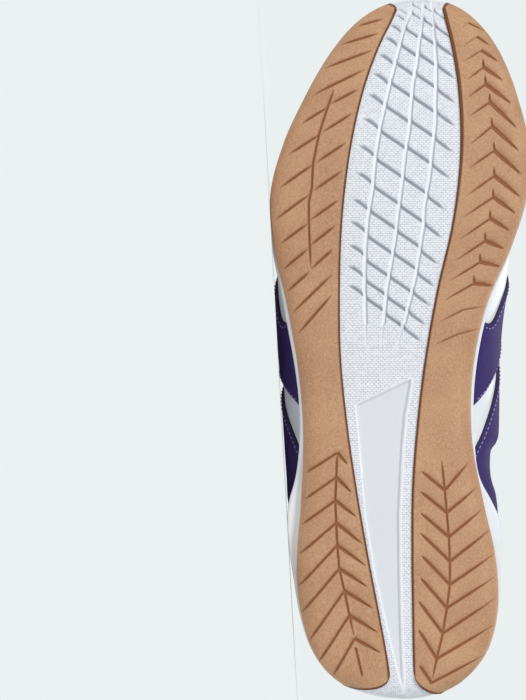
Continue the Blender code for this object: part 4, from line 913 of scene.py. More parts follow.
COLLAR_HEIGHT = 0.088
OPENING_HALF_WIDTH = 0.0315
UPPER_WALL = 0.0020
COLLAR_PADDING = 0.0045
SIDE_BULGE = 0.017
INSTEP_ROUND = 0.024
COLLAR_DROP = 0.026
SIDE_RISE = 0.024
SKIRT_OVER_RIM = 0.0006
COLLAR_CORNER, VAMP_POINT = 0.47, 0.715
TOE_PART = 0.80
RIDGE_PLACES = (0.00, 0.10, 0.25, 0.40, 0.55, 0.68, 0.80, 0.90)
RIDGE_OFFSETS = (-0.010, 0.000, 0.012, 0.006, -0.012, -0.036, -0.062, -0.080)
UPPER = (
    ("station", "top_y", "top_z", "half", "high", "drop", "low_lateral", "low_medial", "rise"),
    (0.000, 0.036, 1.000, 0.000, 0.06, 1.00, 0.20, 0.20, 0.85),
    (0.030, 0.052, 0.994, 0.560, 0.08, 1.00, 0.18, 0.18, 0.85),
    (0.080, 0.100, 0.950, 0.840, 0.12, 0.95, 0.18, 0.22, 0.85),
    (0.160, 0.178, 0.850, 0.970, 0.20, 0.85, 0.24, 0.46, 0.80),
    (0.260, 0.268, 0.785, 1.000, 0.28, 0.78, 0.55, 1.00, 0.72),
    (0.350, 0.352, 0.840, 0.940, 0.36, 0.78, 1.00, 1.50, 0.72),
    (0.420, 0.415, 0.965, 0.740, 0.55, 0.70, 1.22, 1.72, 0.86),
    (0.470, 0.455, 1.020, 0.520, 0.72, 0.55, 1.28, 1.78, 0.96),
    (0.530, 0.512, 0.970, 0.440, 0.84, 0.40, 1.15, 1.60, 0.98),
    (0.600, 0.575, 0.870, 0.410, 0.92, 0.31, 0.80, 1.25, 0.88),
    (0.660, 0.630, 0.795, 0.360, 0.95, 0.25, 0.44, 0.70, 0.72),
    (0.700, 0.664, 0.754, 0.210, 0.97, 0.14, 0.32, 0.42, 0.60),
    (0.715, 0.676, 0.741, 0.000, 0.98, 0.08, 0.26, 0.32, 0.56),
    (0.760, 0.712, 0.706, 0.000, 0.96, 0.03, 0.14, 0.14, 0.48),
    (0.820, 0.758, 0.664, 0.000, 0.92, 0.00, 0.14, 0.14, 0.50),
    (0.880, 0.802, 0.627, 0.000, 0.84, 0.00, 0.14, 0.14, 0.54),
    (0.940, 0.848, 0.592, 0.000, 0.72, 0.00, 0.15, 0.15, 0.58),
    (0.980, 0.880, 0.566, 0.000, 0.62, 0.00, 0.16, 0.16, 0.60),
    (1.000, 0.890, 0.558, 0.000, 0.60, 0.00, 0.16, 0.16, 0.60),
)


def base_point(side, turn):
    plan = sidewall_point(side, turn, rim_inset(turn) + CLEARANCE)
    return lifted(plan, footbed_height(outline_point(side, turn)[..., 1]) + CLEARANCE)


def top_point(side, turn):
    y = SOLE_LENGTH * read(UPPER, "top_y", turn)
    half = OPENING_HALF_WIDTH * np.maximum(0, read(UPPER, "half", turn))
    half = np.where(station_of(turn) >= VAMP_POINT - 1e-6, 0, half)
    ridge = BALL_WIDTH * curve_through(RIDGE_PLACES, RIDGE_OFFSETS, y / SOLE_LENGTH)
    return np.stack((ridge + side * half, y, COLLAR_HEIGHT * read(UPPER, "top_z", turn)), -1)


def upper_point(side, turn, level):
    """Points of the upper's outer face: level 0 at the rim, 1 at the top line, below 0 inside the rim."""
    turn, level = np.broadcast_arrays(np.asarray(turn, float), np.asarray(level, float))
    base = base_point(side, turn)
    start = base + lifted(np.zeros(turn.shape + (2,)), rim_height(turn) + SKIRT_OVER_RIM)
    top = top_point(side, turn)
    low = SIDE_BULGE * read(UPPER, "low_" + side_name(side), turn)
    rise = SIDE_RISE * read(UPPER, "rise", turn)
    towards = (start - top)[..., :2]
    towards = towards / np.linalg.norm(towards, axis=-1, keepdims=True)
    high = INSTEP_ROUND * read(UPPER, "high", turn)
    ahead = top_point(side, np.minimum(math.pi, turn + 0.01))
    behind = top_point(side, np.maximum(0, turn - 0.01))
    slope = (ahead[..., 2] - behind[..., 2]) / np.maximum(1e-5, ahead[..., 1] - behind[..., 1])
    on_ridge = blend(COLLAR_CORNER, VAMP_POINT, station_of(turn))
    drop = COLLAR_DROP * read(UPPER, "drop", turn) - on_ridge * slope * towards[..., 1] * high
    second = start + lifted(outline_normal(side, turn) * low[..., None], rise)
    third = top + lifted(towards * high[..., None], -drop)
    t = np.maximum(level, 0)[..., None]
    s = 1 - t
    face = start * s**3 + 3 * second * s * s * t + 3 * third * s * t * t + top * t**3
    return np.where(level[..., None] < 0, base + (start - base) * (1 + np.minimum(level, 0)[..., None]), face)


def outward_normals(grid):
    """Unit normals at a grid's points that point away from the middle of the foot. The vamp and the toe face
    forwards and up, so each of their points is turned by itself."""
    normal = np.cross(np.gradient(grid, axis=0, edge_order=2), np.gradient(grid, axis=1, edge_order=2))
    normal = normal / np.maximum(np.linalg.norm(normal, axis=-1, keepdims=True), 1e-12)
    middle = np.array((0, SOLE_LENGTH / 2, COLLAR_HEIGHT / 3))
    outwards = (normal * (grid - middle)).sum(-1, keepdims=True)
    at_toe = grid[..., 1:2] > TOE_PART * SOLE_LENGTH
    return normal * np.where(at_toe & (outwards != 0), np.sign(outwards), np.sign(outwards.sum()))


# Synthetic leather: smooth and a little glossy, with a grain of 0.8 mm and slight swells over the backing
leather, tree, shader, place = new_material("white_synthetic_leather", "#e4e7eb", 0.42, Coat_Weight=0.04)
grain = add(tree, "ShaderNodeTexVoronoi", {"Vector": place, "Scale": 1250.0}).outputs["Distance"]
swell = add(tree, "ShaderNodeTexNoise", {"Vector": place, "Scale": 180.0, "Detail": 2.0}).outputs["Fac"]
soil = add(tree, "ShaderNodeTexNoise", {"Vector": place, "Scale": 45.0, "Detail": 4.0}).outputs["Fac"]
soil = add(tree, "ShaderNodeMapRange", {"Value": soil, 1: 0.45, 2: 0.75, 3: 0.0, 4: 0.4}).outputs[0]
colour = add(
    tree, "ShaderNodeMix", {0: soil, 6: linear("#e4e7eb"), 7: linear("#d6d9df")}, data_type="RGBA"
).outputs[2]
tree.links.new(colour, shader.inputs["Base Color"])
low_bump = add(tree, "ShaderNodeBump", {"Height": swell, "Distance": 0.12 * MM})
bump = add(tree, "ShaderNodeBump", {"Height": grain, "Distance": 0.04 * MM, "Normal": low_bump.outputs[0]})
tree.links.new(bump.outputs[0], shader.inputs["Normal"])

# Lining: a dark knit, matt and a little fuzzy, with loops 1.2 mm apart
lining, tree, shader, place = new_material("knitted_lining", "#2a2733", 0.95, Sheen_Weight=0.3)
loops = add(
    tree, "ShaderNodeTexVoronoi", {"Vector": place, "Scale": 850.0, "Randomness": 0.35}
).outputs["Distance"]
colour = add(
    tree, "ShaderNodeMix", {0: loops, 6: linear("#3b3747"), 7: linear("#1f1c28")}, data_type="RGBA"
).outputs[2]
tree.links.new(colour, shader.inputs["Base Color"])
bump = add(tree, "ShaderNodeBump", {"Height": loops, "Distance": -0.3 * MM})
tree.links.new(bump.outputs[0], shader.inputs["Normal"])

CREASES = (
    {"station": 0.735, "lean": 0.05},
    {"station": 0.765, "lean": 0.075},
    {"station": 0.795, "lean": 0.09},
)
CREASE_DEPTH, CREASE_WIDTH = 0.55 * MM, 0.006
UPPER_COLUMNS = 230
part_ends = [0.0, float(turn_of(COLLAR_CORNER)), float(turn_of(VAMP_POINT)), math.pi]
parts = [
    np.linspace(a, b, int(UPPER_COLUMNS * (b - a) / math.pi), endpoint=False)
    for a, b in zip(part_ends, part_ends[1:])
]
turns = np.concatenate((*parts, [math.pi]))[:, None]
levels = np.concatenate(([-1, -0.5], np.linspace(0, 1, 60)))[None, :]
open_columns = station_of(turns[:, 0]) <= VAMP_POINT + 1e-6
grids, kinds = [], []
for side in SIDES:
    outside = upper_point(side, turns, levels)
    normal = outward_normals(outside)
    for crease in CREASES:
        away = station_of(turns) - crease["station"] - crease["lean"] * (levels - 1)
        depth = CREASE_DEPTH * np.exp(-((away / CREASE_WIDTH) ** 2)) * blend(0.45, 0.7, levels)
        outside = outside - normal * depth[..., None]
    collar = 1 - blend(COLLAR_CORNER - 0.13, COLLAR_CORNER - 0.03, station_of(turns))
    wall = UPPER_WALL + COLLAR_PADDING * collar * blend(0.62, 0.86, levels)
    inside = upper_point(side, turns, levels) - normal * wall[..., None]
    up = outside[:, -1] - outside[:, -3]
    up = up / np.linalg.norm(up, axis=-1, keepdims=True)
    shares = np.linspace(0, 1, 9)[None, :, None]
    rounded = np.sin(math.pi * shares) * 0.28 * wall[:, -1][:, None, None]
    rim = outside[:, -1:] * (1 - shares) + inside[:, -1:] * shares + up[:, None] * rounded
    foot = np.stack((outside[:, 0], inside[:, 0]), 1)
    grids += [outside, inside, rim[open_columns], foot]
    kinds += [0, 1, 1, 0]
upper = new_piece("leather_upper", grids, [leather, lining], kinds)


# Overlays
# Cut from synthetic leather 1.5 mm thick and sewn to the upper: two purple quarter panels with a white wedge
# between their parts, which leans further forward on the medial side, and a white eyestay, toe cap and heel
# counter.

OVERLAY_HEIGHT = 1.5 * MM
PANEL_LEAN = 0.13
MEDIAL_NOTCH_LEAN = 0.045
PANEL_LINES = (0.103, 0.533)
PANEL_LEVELS = (0.04, 0.62)
PANEL_RISE = 0.14
NOTCH_LINES = (0.328, 0.405)
NOTCH_TOP = 0.50
EYESTAY_LOW, EYESTAY_HIGH = 0.80, 0.99
EYESTAY_START, EYESTAY_END = 0.476, 0.775
COUNTER_LEVELS, COUNTER_END = (0.06, 0.60), 0.088
TOE_CAP_START, TOE_CAP_TOP = 0.86, 0.56
EYELET_RADIUS = 0.0022
EYELETS_PER_SIDE = 6
EYELET_LEVEL = 0.90
FIRST_EYELET, LAST_EYELET = 0.030, 0.020

# Purple leather: the same grain, matt, with a slightly lighter bloom on its swells
purple, tree, shader, place = new_material(
    "purple_synthetic_leather", "#3f3268", 0.65, Specular_IOR_Level=0.1
)
grain = add(tree, "ShaderNodeTexVoronoi", {"Vector": place, "Scale": 1250.0}).outputs["Distance"]
swell = add(tree, "ShaderNodeTexNoise", {"Vector": place, "Scale": 120.0, "Detail": 3.0}).outputs["Fac"]
colour = add(
    tree, "ShaderNodeMix", {0: swell, 6: linear("#36295c"), 7: linear("#41346c")}, data_type="RGBA"
).outputs[2]
tree.links.new(colour, shader.inputs["Base Color"])
bump = add(tree, "ShaderNodeBump", {"Height": grain, "Distance": 0.05 * MM})
tree.links.new(bump.outputs[0], shader.inputs["Normal"])

# The overlays' cut edges are painted nearly black on the purple panels
edge_paint, tree, shader, place = new_material("edge_paint_black", "#17141f", 0.6)
grain = add(tree, "ShaderNodeTexNoise", {"Vector": place, "Scale": 1500.0}).outputs["Fac"]
bump = add(tree, "ShaderNodeBump", {"Height": grain, "Distance": 0.05 * MM})
tree.links.new(bump.outputs[0], shader.inputs["Normal"])

stitch_paths = {"pale": [], "white": []}


def add_stitches(kind, points, normals):
    """Keeps a path for a row of stitches that lies on the overlays."""
    stitch_paths[kind].append(points + normals * (OVERLAY_HEIGHT + 0.15 * MM))


def spaced(count, start_gap, end_gap):
    """Shares from 0 to 1 with close steps where an edge is rounded."""
    near = np.array((0.0, 0.35, 0.8, 1.4, 2.2)) * MM
    middle = np.linspace(3.2 * MM * start_gap, 1 - 3.2 * MM * end_gap, count)
    return np.concatenate((near * start_gap, middle, 1 - near[::-1] * end_gap))


def overlay_sheet(grid, rounded=(True, True, True, True)):
    """Lifts a grid off the upper to an overlay's height, with its edges rounded down where it is so marked:
    first row, last row, first column, last column."""
    normal = outward_normals(grid)
    height = np.full(grid.shape[:2], 1.0)
    profile = (-0.15, 0.60, 0.86, 0.97)
    for k, value in enumerate(profile):
        for marked, index in zip(rounded, (np.s_[k], np.s_[-1 - k], np.s_[:, k], np.s_[:, -1 - k])):
            if marked:
                height[index] = np.minimum(height[index], value)
    return grid + normal * (OVERLAY_HEIGHT * height)[..., None]


def leaning_point(side, line, level):
    lean = PANEL_LEAN * (1 - (1 - level) ** 2.6) * blend(0.10, 0.34, line)
    if side == MEDIAL:
        by_notch = blend(0.10, 0.34, line) * (1 - blend(0.42, 0.53, line))
        lean = lean + MEDIAL_NOTCH_LEAN * blend(0.05, 0.40, level) * by_notch
    return upper_point(side, turn_of(line + lean), level)


def panel_top(line):
    return PANEL_LEVELS[1] + PANEL_RISE * blend(0.25, 0.42, line)


def panel_grid(side, low_line, high_line, gap):
    """A part of the quarter panel between two lines, each a function of the level."""
    across = spaced(70, gap, gap)[:, None]
    level_share = spaced(46, 14, 14)[None, :]
    level = level_share * (PANEL_LEVELS[1] + PANEL_RISE - PANEL_LEVELS[0]) + PANEL_LEVELS[0]
    for _ in range(3):
        line = low_line(level) + (high_line(level) - low_line(level)) * across
        level = PANEL_LEVELS[0] + (panel_top(line) - PANEL_LEVELS[0]) * level_share
    return leaning_point(side, line, level)


def notch_half(level):
    return (NOTCH_LINES[1] - NOTCH_LINES[0]) / 2 * np.clip(1 - level / NOTCH_TOP, 0, 1) ** 0.9


def front_line(level):
    """The panel's front edge, which starts with a round dip just over the midsole."""
    return PANEL_LINES[1] - 0.027 * np.exp(-(((level - 0.12) / 0.07) ** 2))


notch_middle = sum(NOTCH_LINES) / 2
for side in SIDES:
    rear = panel_grid(side, lambda v: 0 * v + PANEL_LINES[0], lambda v: notch_middle - notch_half(v), 14)
    front = panel_grid(side, lambda v: notch_middle + notch_half(v), front_line, 29)
    sheets = []
    for grid in (rear, front):
        normal = outward_normals(grid)
        for line in (np.s_[4, 4:-4], np.s_[-5, 4:-4], np.s_[5:-5, -6]):
            add_stitches("pale", grid[line], normal[line])
        sheet = overlay_sheet(grid)
        sheets += [sheet[:-1], sheet[-2:]]
    panel = new_piece("quarter_panel_leather_" + side_name(side), sheets, [purple, edge_paint], [0, 1, 0, 1])
    show(panel, "purple_leather", "quarter_panel_" + side_name(side))

counter_turns = np.linspace(0, 1, 70)[:, None] * float(turn_of(COUNTER_END))
end_shares = 1 - spaced(2, 20, 20)[:5][::-1, None] * 0.6
counter_turns = np.concatenate((counter_turns[:-5], counter_turns[-1] * end_shares))
levels = COUNTER_LEVELS[0] + (COUNTER_LEVELS[1] - COUNTER_LEVELS[0]) * spaced(40, 16, 16)[None, :]
sheets = []
for side in SIDES:
    grid = upper_point(side, counter_turns, levels)
    sheets.append(overlay_sheet(grid, (False, True, True, True)))
    normal = outward_normals(grid)
    add_stitches("white", grid[:, -7], normal[:, -7])
    add_stitches("white", grid[-7, 6:-6], normal[-7, 6:-6])
counter = new_piece("heel_counter_leather", sheets, [leather])
show(counter, "white_leather", "heel_counter")

start = float(turn_of(TOE_CAP_START))
cap_shares = spaced(70, 12, 12)[:75]
cap_shares = np.concatenate((cap_shares, np.linspace(cap_shares[-1], 1, 4)[1:]))
cap_turns = start + (math.pi - start) * cap_shares[:, None]
top = TOE_CAP_TOP * (0.35 + 0.65 * blend(TOE_CAP_START - 0.02, 0.97, station_of(cap_turns)))
levels = 0.06 + (top - 0.06) * spaced(40, 22, 22)[None, :]
sheets = []
for side in SIDES:
    grid = upper_point(side, cap_turns, levels)
    sheets.append(overlay_sheet(grid, (True, False, True, True)))
    normal = outward_normals(grid)
    add_stitches("white", grid[6:, -7], normal[6:, -7])
toe_cap = new_piece("toe_cap_leather", sheets, [leather])
show(toe_cap, "white_leather", "toe_cap")

low_turn, vamp_turn, high_turn = (float(turn_of(s)) for s in (EYESTAY_START, VAMP_POINT, EYESTAY_END))
eyestay_turns = np.concatenate(
    (low_turn + (vamp_turn - low_turn) * spaced(90, 12, 0)[:-5], np.linspace(vamp_turn, high_turn, 40)[1:])
)[:, None]
ahead = np.clip((station_of(eyestay_turns) - VAMP_POINT) / (EYESTAY_END - VAMP_POINT), 0, 1)
low = EYESTAY_LOW + (1 - EYESTAY_LOW) * 0.6 * ahead**2
top = np.where(station_of(eyestay_turns) > VAMP_POINT + 1e-6, 1.0, EYESTAY_HIGH)
levels = low + (top - low) * spaced(26, 45, 45)[None, :]
grids, kinds = [], []
for side in SIDES:
    grid = upper_point(side, eyestay_turns, levels)
    sheet = overlay_sheet(grid, (True, True, True, False))
    normal = outward_normals(grid)
    under = grid - normal * 0.3 * MM
    closing = [np.stack((sheet[:, 0], under[:, 0]), 1), np.stack((sheet[0], under[0]), 0)]
    closing.append(np.stack((sheet[-1], under[-1]), 0))
    on_throat = station_of(eyestay_turns[:, 0]) <= VAMP_POINT + 1e-6
    closing.append(np.stack((sheet[on_throat, -1], under[on_throat, -1]), 1))
    grids += [sheet, under, *closing]
    add_stitches("white", grid[5:, 8], normal[5:, 8])
    add_stitches("white", grid[5:, 11], normal[5:, 11])
eyestay = new_piece("eyestay_leather", grids, [leather])

eyelets = {}
for side in SIDES:
    frames = []
    for i in range(EYELETS_PER_SIDE):
        eyelet_run = VAMP_POINT - COLLAR_CORNER - FIRST_EYELET - LAST_EYELET
        station = VAMP_POINT - FIRST_EYELET - eyelet_run * i / (EYELETS_PER_SIDE - 1)
        turn = float(turn_of(station))
        centre = upper_point(side, turn, EYELET_LEVEL)
        up = upper_point(side, turn, EYELET_LEVEL + 0.03) - upper_point(side, turn, EYELET_LEVEL - 0.03)
        along = upper_point(side, turn + 0.02, EYELET_LEVEL) - upper_point(side, turn - 0.02, EYELET_LEVEL)
        normal = np.cross(up, along)
        normal *= np.sign(normal[2]) / np.linalg.norm(normal)
        edge = upper_point(side, turn, 1.0)
        frames.append({"centre": centre, "normal": normal, "edge": edge})
    eyelets[side] = frames

# The eyelets are punched through the eyestay and the upper with round pins
PIN_LENGTH = 0.012
pins = bmesh.new()
for side in SIDES:
    for frame_of_eyelet in eyelets[side]:
        turned = Vector(frame_of_eyelet["normal"]).to_track_quat("Z", "Y").to_matrix().to_4x4()
        place_of_pin = REST @ Matrix.Translation(Vector(frame_of_eyelet["centre"])) @ turned
        bmesh.ops.create_cone(
            pins, cap_ends=True, segments=20, radius1=EYELET_RADIUS, radius2=EYELET_RADIUS,
            depth=PIN_LENGTH, matrix=place_of_pin,
        )
pin_mesh = bpy.data.meshes.new("pins")
pins.to_mesh(pin_mesh)
pins.free()
pin_object = bpy.data.objects.new("pins", pin_mesh)
bpy.context.scene.collection.objects.link(pin_object)
for made in (upper, eyestay):
    modifier = made.modifiers.new("holes", "BOOLEAN")
    modifier.operation = "DIFFERENCE"
    modifier.solver = "EXACT"
    modifier.object = pin_object
    depsgraph = bpy.context.evaluated_depsgraph_get()
    mesh = bpy.data.meshes.new_from_object(made.evaluated_get(depsgraph))
    made.modifiers.clear()
    made.data = mesh
bpy.data.objects.remove(pin_object)
show(upper, "white_leather", "upper")
show(eyestay, "white_leather", "eyestay")


# Insole
# A flat foam footbed with a knitted cover that fills the bottom of the upper. Only the collar shows it.

INSOLE_THICKNESS = 0.0045
turns = np.linspace(0, math.pi, 120)
grids = []
for side in SIDES:
    edge = rim_inset(turns) + 2 * CLEARANCE + UPPER_WALL * 1.25
    low = footbed_height(outline_point(side, turns)[:, 1]) + 2 * CLEARANCE
    rings = [lifted(sidewall_point(side, turns, edge), low)]
    for inset, rise in ((0.0, 0.8), (0.4 * MM, 0.93), (1.5 * MM, 1.0), (5 * MM, 0.85), (10 * MM, 0.75)):
        rings.append(lifted(sidewall_point(side, turns, edge + inset), low + INSOLE_THICKNESS * rise))
    grids.append(np.stack(rings, 0))
for level in (0, -1):
    shares = np.linspace(0, 1, 12)[:, None, None]
    grids.append(grids[0][level] * (1 - shares) + grids[1][level] * shares)
insole = new_piece("foam_insole", grids, [lining])
show(insole, "insole_foam", "insole")


# Tongue
# Synthetic leather over thin foam, quilted with three shallow channels. It is sewn in under the vamp and
# rises past the collar.

TONGUE_THICKNESS = 0.0038
TONGUE_LENGTH_ABOVE_COLLAR = 0.024
TONGUE_GAP = 0.0012
TONGUE_LEVELS = (0.84, 0.90, 0.955)
TONGUE_RISE = (
    {"length": 0.40, "width": 0.74},
    {"length": 0.72, "width": 0.92},
    {"length": 0.92, "width": 0.97},
    {"length": 1.00, "width": 0.80},
)
# The way the tongue rises past the collar, which way its back then faces, and how much narrower it is
RISE_DIRECTION = np.array((0, -0.60, 0.80))
RISE_INWARD = np.array((0, -0.80, -0.60))
TONGUE_PINCH = np.array((0.86, 1.0, 1.0))
QUILT_LINES, QUILT_WIDTH, QUILT_DEPTH = (0.28, 0.5, 0.72), 0.018, 0.35
throat_turns = np.concatenate(
    (np.linspace(turn_of(COLLAR_CORNER), vamp_turn, 6), np.linspace(vamp_turn, turn_of(0.80), 4)[1:])
)
rows = []
for turn in throat_turns:
    lateral, medial = ([upper_point(side, turn, v) for v in TONGUE_LEVELS] for side in SIDES)
    centre = (lateral[-1] + medial[-1]) / 2 + np.array((0, 0, 0.0006))
    thickness = TONGUE_THICKNESS * (1 - 0.45 * blend(0.60, VAMP_POINT, station_of(turn)))
    offset = [(p - centre) * TONGUE_PINCH for p in (*lateral, centre, *medial[::-1])]
    rows.append((centre, offset, thickness))
corner = rows[0]
for step in TONGUE_RISE:
    centre = corner[0] + RISE_DIRECTION * TONGUE_LENGTH_ABOVE_COLLAR * step["length"]
    offset = [
        np.array((o[0] * step["width"], 0, 0)) - RISE_INWARD * o[2] * (1 - 0.5 * step["length"])
        for o in corner[1]
    ]
    rows.insert(0, (centre, offset, TONGUE_THICKNESS))
outer, inner = [], []
for k, (centre, offset, thickness) in enumerate(rows):
    along = rows[min(k + 1, len(rows) - 1)][0] - rows[max(k - 1, 0)][0]
    inward = np.array((0.0, along[2], -along[1]))
    inward /= np.linalg.norm(inward)
    face = np.array([centre + o + inward * (UPPER_WALL + TONGUE_GAP) for o in offset])
    outer.append(face)
    inner.append(face + inward * thickness)


def refined(grid, rows_wanted, columns_wanted):
    """A smooth finer grid through a coarse one."""
    grid = np.asarray(grid, float)
    for axis, wanted in ((0, rows_wanted), (1, columns_wanted)):
        old = np.arange(grid.shape[axis], dtype=float)
        new = np.linspace(0, old[-1], wanted)
        moved = np.moveaxis(grid, axis, 0)
        flat_grid = moved.reshape(len(old), -1)
        fine = np.stack([curve_through(old, flat_grid[:, j], new) for j in range(flat_grid.shape[1])], -1)
        grid = np.moveaxis(fine.reshape((wanted,) + moved.shape[1:]), 0, axis)
    return grid


outer, inner = refined(outer, 90, 60), refined(inner, 90, 60)
middle, half = (outer + inner) / 2, (outer - inner) / 2
u, v = np.linspace(0, 1, 90)[:, None], np.linspace(0, 1, 60)[None, :]
row_middle = (middle[:, :1] + middle[:, -1:]) / 2
rounded_top = np.sqrt(1 - 0.55 * np.clip(1 - u / 0.12, 0, 1) ** 2.5)
middle = row_middle + (middle - row_middle) * rounded_top[..., None]
side_rounding = np.sqrt(np.clip(np.minimum(v, 1 - v) / 0.05, 0, 1))
rounding = np.minimum(1, side_rounding * np.sqrt(np.clip(u / 0.03, 0, 1)) + 0.15)
quilt = sum(np.exp(-(((v - line) / QUILT_WIDTH) ** 2)) for line in QUILT_LINES) * blend(0.03, 0.1, u)
outer_face = middle + half * (rounding - QUILT_DEPTH * quilt * rounding)[..., None]
inner_face = middle - half * rounding[..., None]
closing = [np.stack((outer_face[:, k], inner_face[:, k]), 1) for k in (0, -1)]
closing += [np.stack((outer_face[k], inner_face[k]), 0) for k in (0, -1)]
tongue = new_piece("padded_tongue", [outer_face, inner_face, *closing], [leather, lining], [0, 1, 0, 0, 0, 0])
show(tongue, "white_leather", "tongue")


# Laces
# Flat woven polyester cord. Each bar crosses the throat and turns down into an eyelet at both ends. The ends
# stop at the top eyelets.

LACE_WIDTH, LACE_THICKNESS = 0.0065, 0.0013

# Woven polyester: matt, with a herringbone of yarns 0.9 mm apart
lace, tree, shader, place = new_material("woven_polyester_lace", "#e6e8ec", 0.8, Sheen_Weight=0.2)
along = add(tree, "ShaderNodeAttribute", attribute_name="along").outputs["Fac"]
beside = add(tree, "ShaderNodeAttribute", attribute_name="beside").outputs["Fac"]
beside = add(tree, "ShaderNodeMath", {0: beside}, operation="ABSOLUTE").outputs[0]
phase = add(tree, "ShaderNodeMath", {0: along, 1: beside}, operation="ADD").outputs[0]
phase = add(tree, "ShaderNodeMath", {0: phase, 1: 2 * math.pi / 0.9}, operation="MULTIPLY").outputs[0]
yarn = add(tree, "ShaderNodeMath", {0: phase}, operation="SINE").outputs[0]
yarn = add(tree, "ShaderNodeMapRange", {"Value": yarn, 1: -1.0, 2: 1.0}).outputs[0]
colour = add(
    tree, "ShaderNodeMix", {0: yarn, 6: linear("#c2c6cf"), 7: linear("#eceef2")}, data_type="RGBA"
).outputs[2]
tree.links.new(colour, shader.inputs["Base Color"])
bump = add(tree, "ShaderNodeBump", {"Height": yarn, "Distance": 0.15 * MM})
tree.links.new(bump.outputs[0], shader.inputs["Normal"])

over = OVERLAY_HEIGHT + CLEARANCE + LACE_THICKNESS / 2
for i in range(EYELETS_PER_SIDE):
    path = []
    for side in SIDES:
        centre, normal, edge = (eyelets[side][i][key] for key in ("centre", "normal", "edge"))
        slide = edge - centre
        slide = slide - normal * (slide @ normal)
        slide /= np.linalg.norm(slide)
        narrow = EYELET_RADIUS * 0.6
        half_path = [
            (centre - normal * 1.8 * MM, -slide, narrow),
            (centre + normal * (over - LACE_THICKNESS / 2), -slide, narrow),
            (
                centre + slide * (EYELET_RADIUS + 1.2 * MM) + normal * (over + 0.6 * MM),
                normal,
                LACE_WIDTH / 2,
            ),
            (edge + normal * (over + 1.2 * MM), normal, LACE_WIDTH / 2),
        ]
        path += half_path if side == LATERAL else half_path[::-1]
    knots = np.arange(len(path), dtype=float)
    fine = np.linspace(0, len(path) - 1, 70)
    places = np.stack([curve_through(knots, [p[0][k] for p in path], fine) for k in range(3)], -1)
    facing = np.stack([np.interp(fine, knots, [p[1][k] for p in path]) for k in range(3)], -1)
    half_width = np.interp(fine, knots, [p[2] for p in path])[:, None, None]
    run = np.gradient(places, axis=0)
    length = np.concatenate(([0], np.cumsum(np.linalg.norm(np.diff(places, axis=0), axis=1))))
    run /= np.linalg.norm(run, axis=-1, keepdims=True)
    facing = facing - run * (facing * run).sum(-1, keepdims=True)
    facing /= np.linalg.norm(facing, axis=-1, keepdims=True)
    wide = np.cross(run, facing)
    round_turns = np.linspace(0, 2 * math.pi, 25)
    a, b = np.cos(round_turns), np.sin(round_turns)
    a, b = np.sign(a) * np.abs(a) ** 0.5, np.sign(b) * np.abs(b) ** 0.8
    ring = places[:, None] + wide[:, None] * half_width * a[None, :, None]
    ring = ring + facing[:, None] * LACE_THICKNESS / 2 * b[None, :, None]
    lengthwise = np.broadcast_to(length[:, None] / MM, ring.shape[:2])
    sideways = np.broadcast_to(half_width[..., 0] / MM * a[None, :], ring.shape[:2])
    bar = new_piece("lace_%d" % (i + 1), [ring], [lace], along=[lengthwise], beside=[sideways])
    show(bar, "lace_cord", "lace_bar_%d" % (i + 1))


# Stitches
# Rows of bonded thread that hold the overlays: lavender on the purple panels and white on the white leather.
# Each stitch is 1.5 mm long and the next one starts 2.2 mm on.

STITCH_PITCH, STITCH_LENGTH, STITCH_THICKNESS = 2.2 * MM, 1.5 * MM, 0.5 * MM
THREADS = {
    "pale": ("lavender_thread", "#8d84b4", "purple_leather"),
    "white": ("white_thread", "#dfe2e8", "white_leather"),
}
INPUTS = (("Pitch", "Float"), ("Length", "Float"), ("Thickness", "Float"), ("Thread", "Material"))

group = bpy.data.node_groups.new("stitch_rows", "GeometryNodeTree")
group.interface.new_socket("Paths", in_out="INPUT", socket_type="NodeSocketGeometry")
for socket_name, kind in INPUTS:
    group.interface.new_socket(socket_name, in_out="INPUT", socket_type="NodeSocket" + kind)
group.interface.new_socket("Stitches", in_out="OUTPUT", socket_type="NodeSocketGeometry")
given = add(group, "NodeGroupInput").outputs
curves = add(group, "GeometryNodeMeshToCurve", {"Mesh": given["Paths"]}).outputs[0]
points = add(group, "GeometryNodeCurveToPoints", {"Curve": curves, "Length": given["Pitch"]}, mode="LENGTH")
bead = add(group, "GeometryNodeMeshIcoSphere", {"Radius": 0.5, "Subdivisions": 2}).outputs[0]
size = add(
    group, "ShaderNodeCombineXYZ", {0: given["Thickness"], 1: given["Thickness"], 2: given["Length"]}
).outputs[0]
turned = add(
    group, "FunctionNodeAlignRotationToVector", {"Vector": points.outputs["Tangent"]}, axis="Z"
).outputs[0]
rows_of_beads = add(
    group, "GeometryNodeInstanceOnPoints",
    {"Points": points.outputs["Points"], "Instance": bead, "Rotation": turned, "Scale": size},
).outputs[0]
real = add(group, "GeometryNodeRealizeInstances", {0: rows_of_beads}).outputs[0]
smooth = add(group, "GeometryNodeSetShadeSmooth", {0: real}).outputs[0]
finished = add(group, "GeometryNodeSetMaterial", {0: smooth, "Material": given["Thread"]}).outputs[0]
add(group, "NodeGroupOutput", {0: finished})
socket_of = {item.name: item.identifier for item in group.interface.items_tree if item.in_out == "INPUT"}

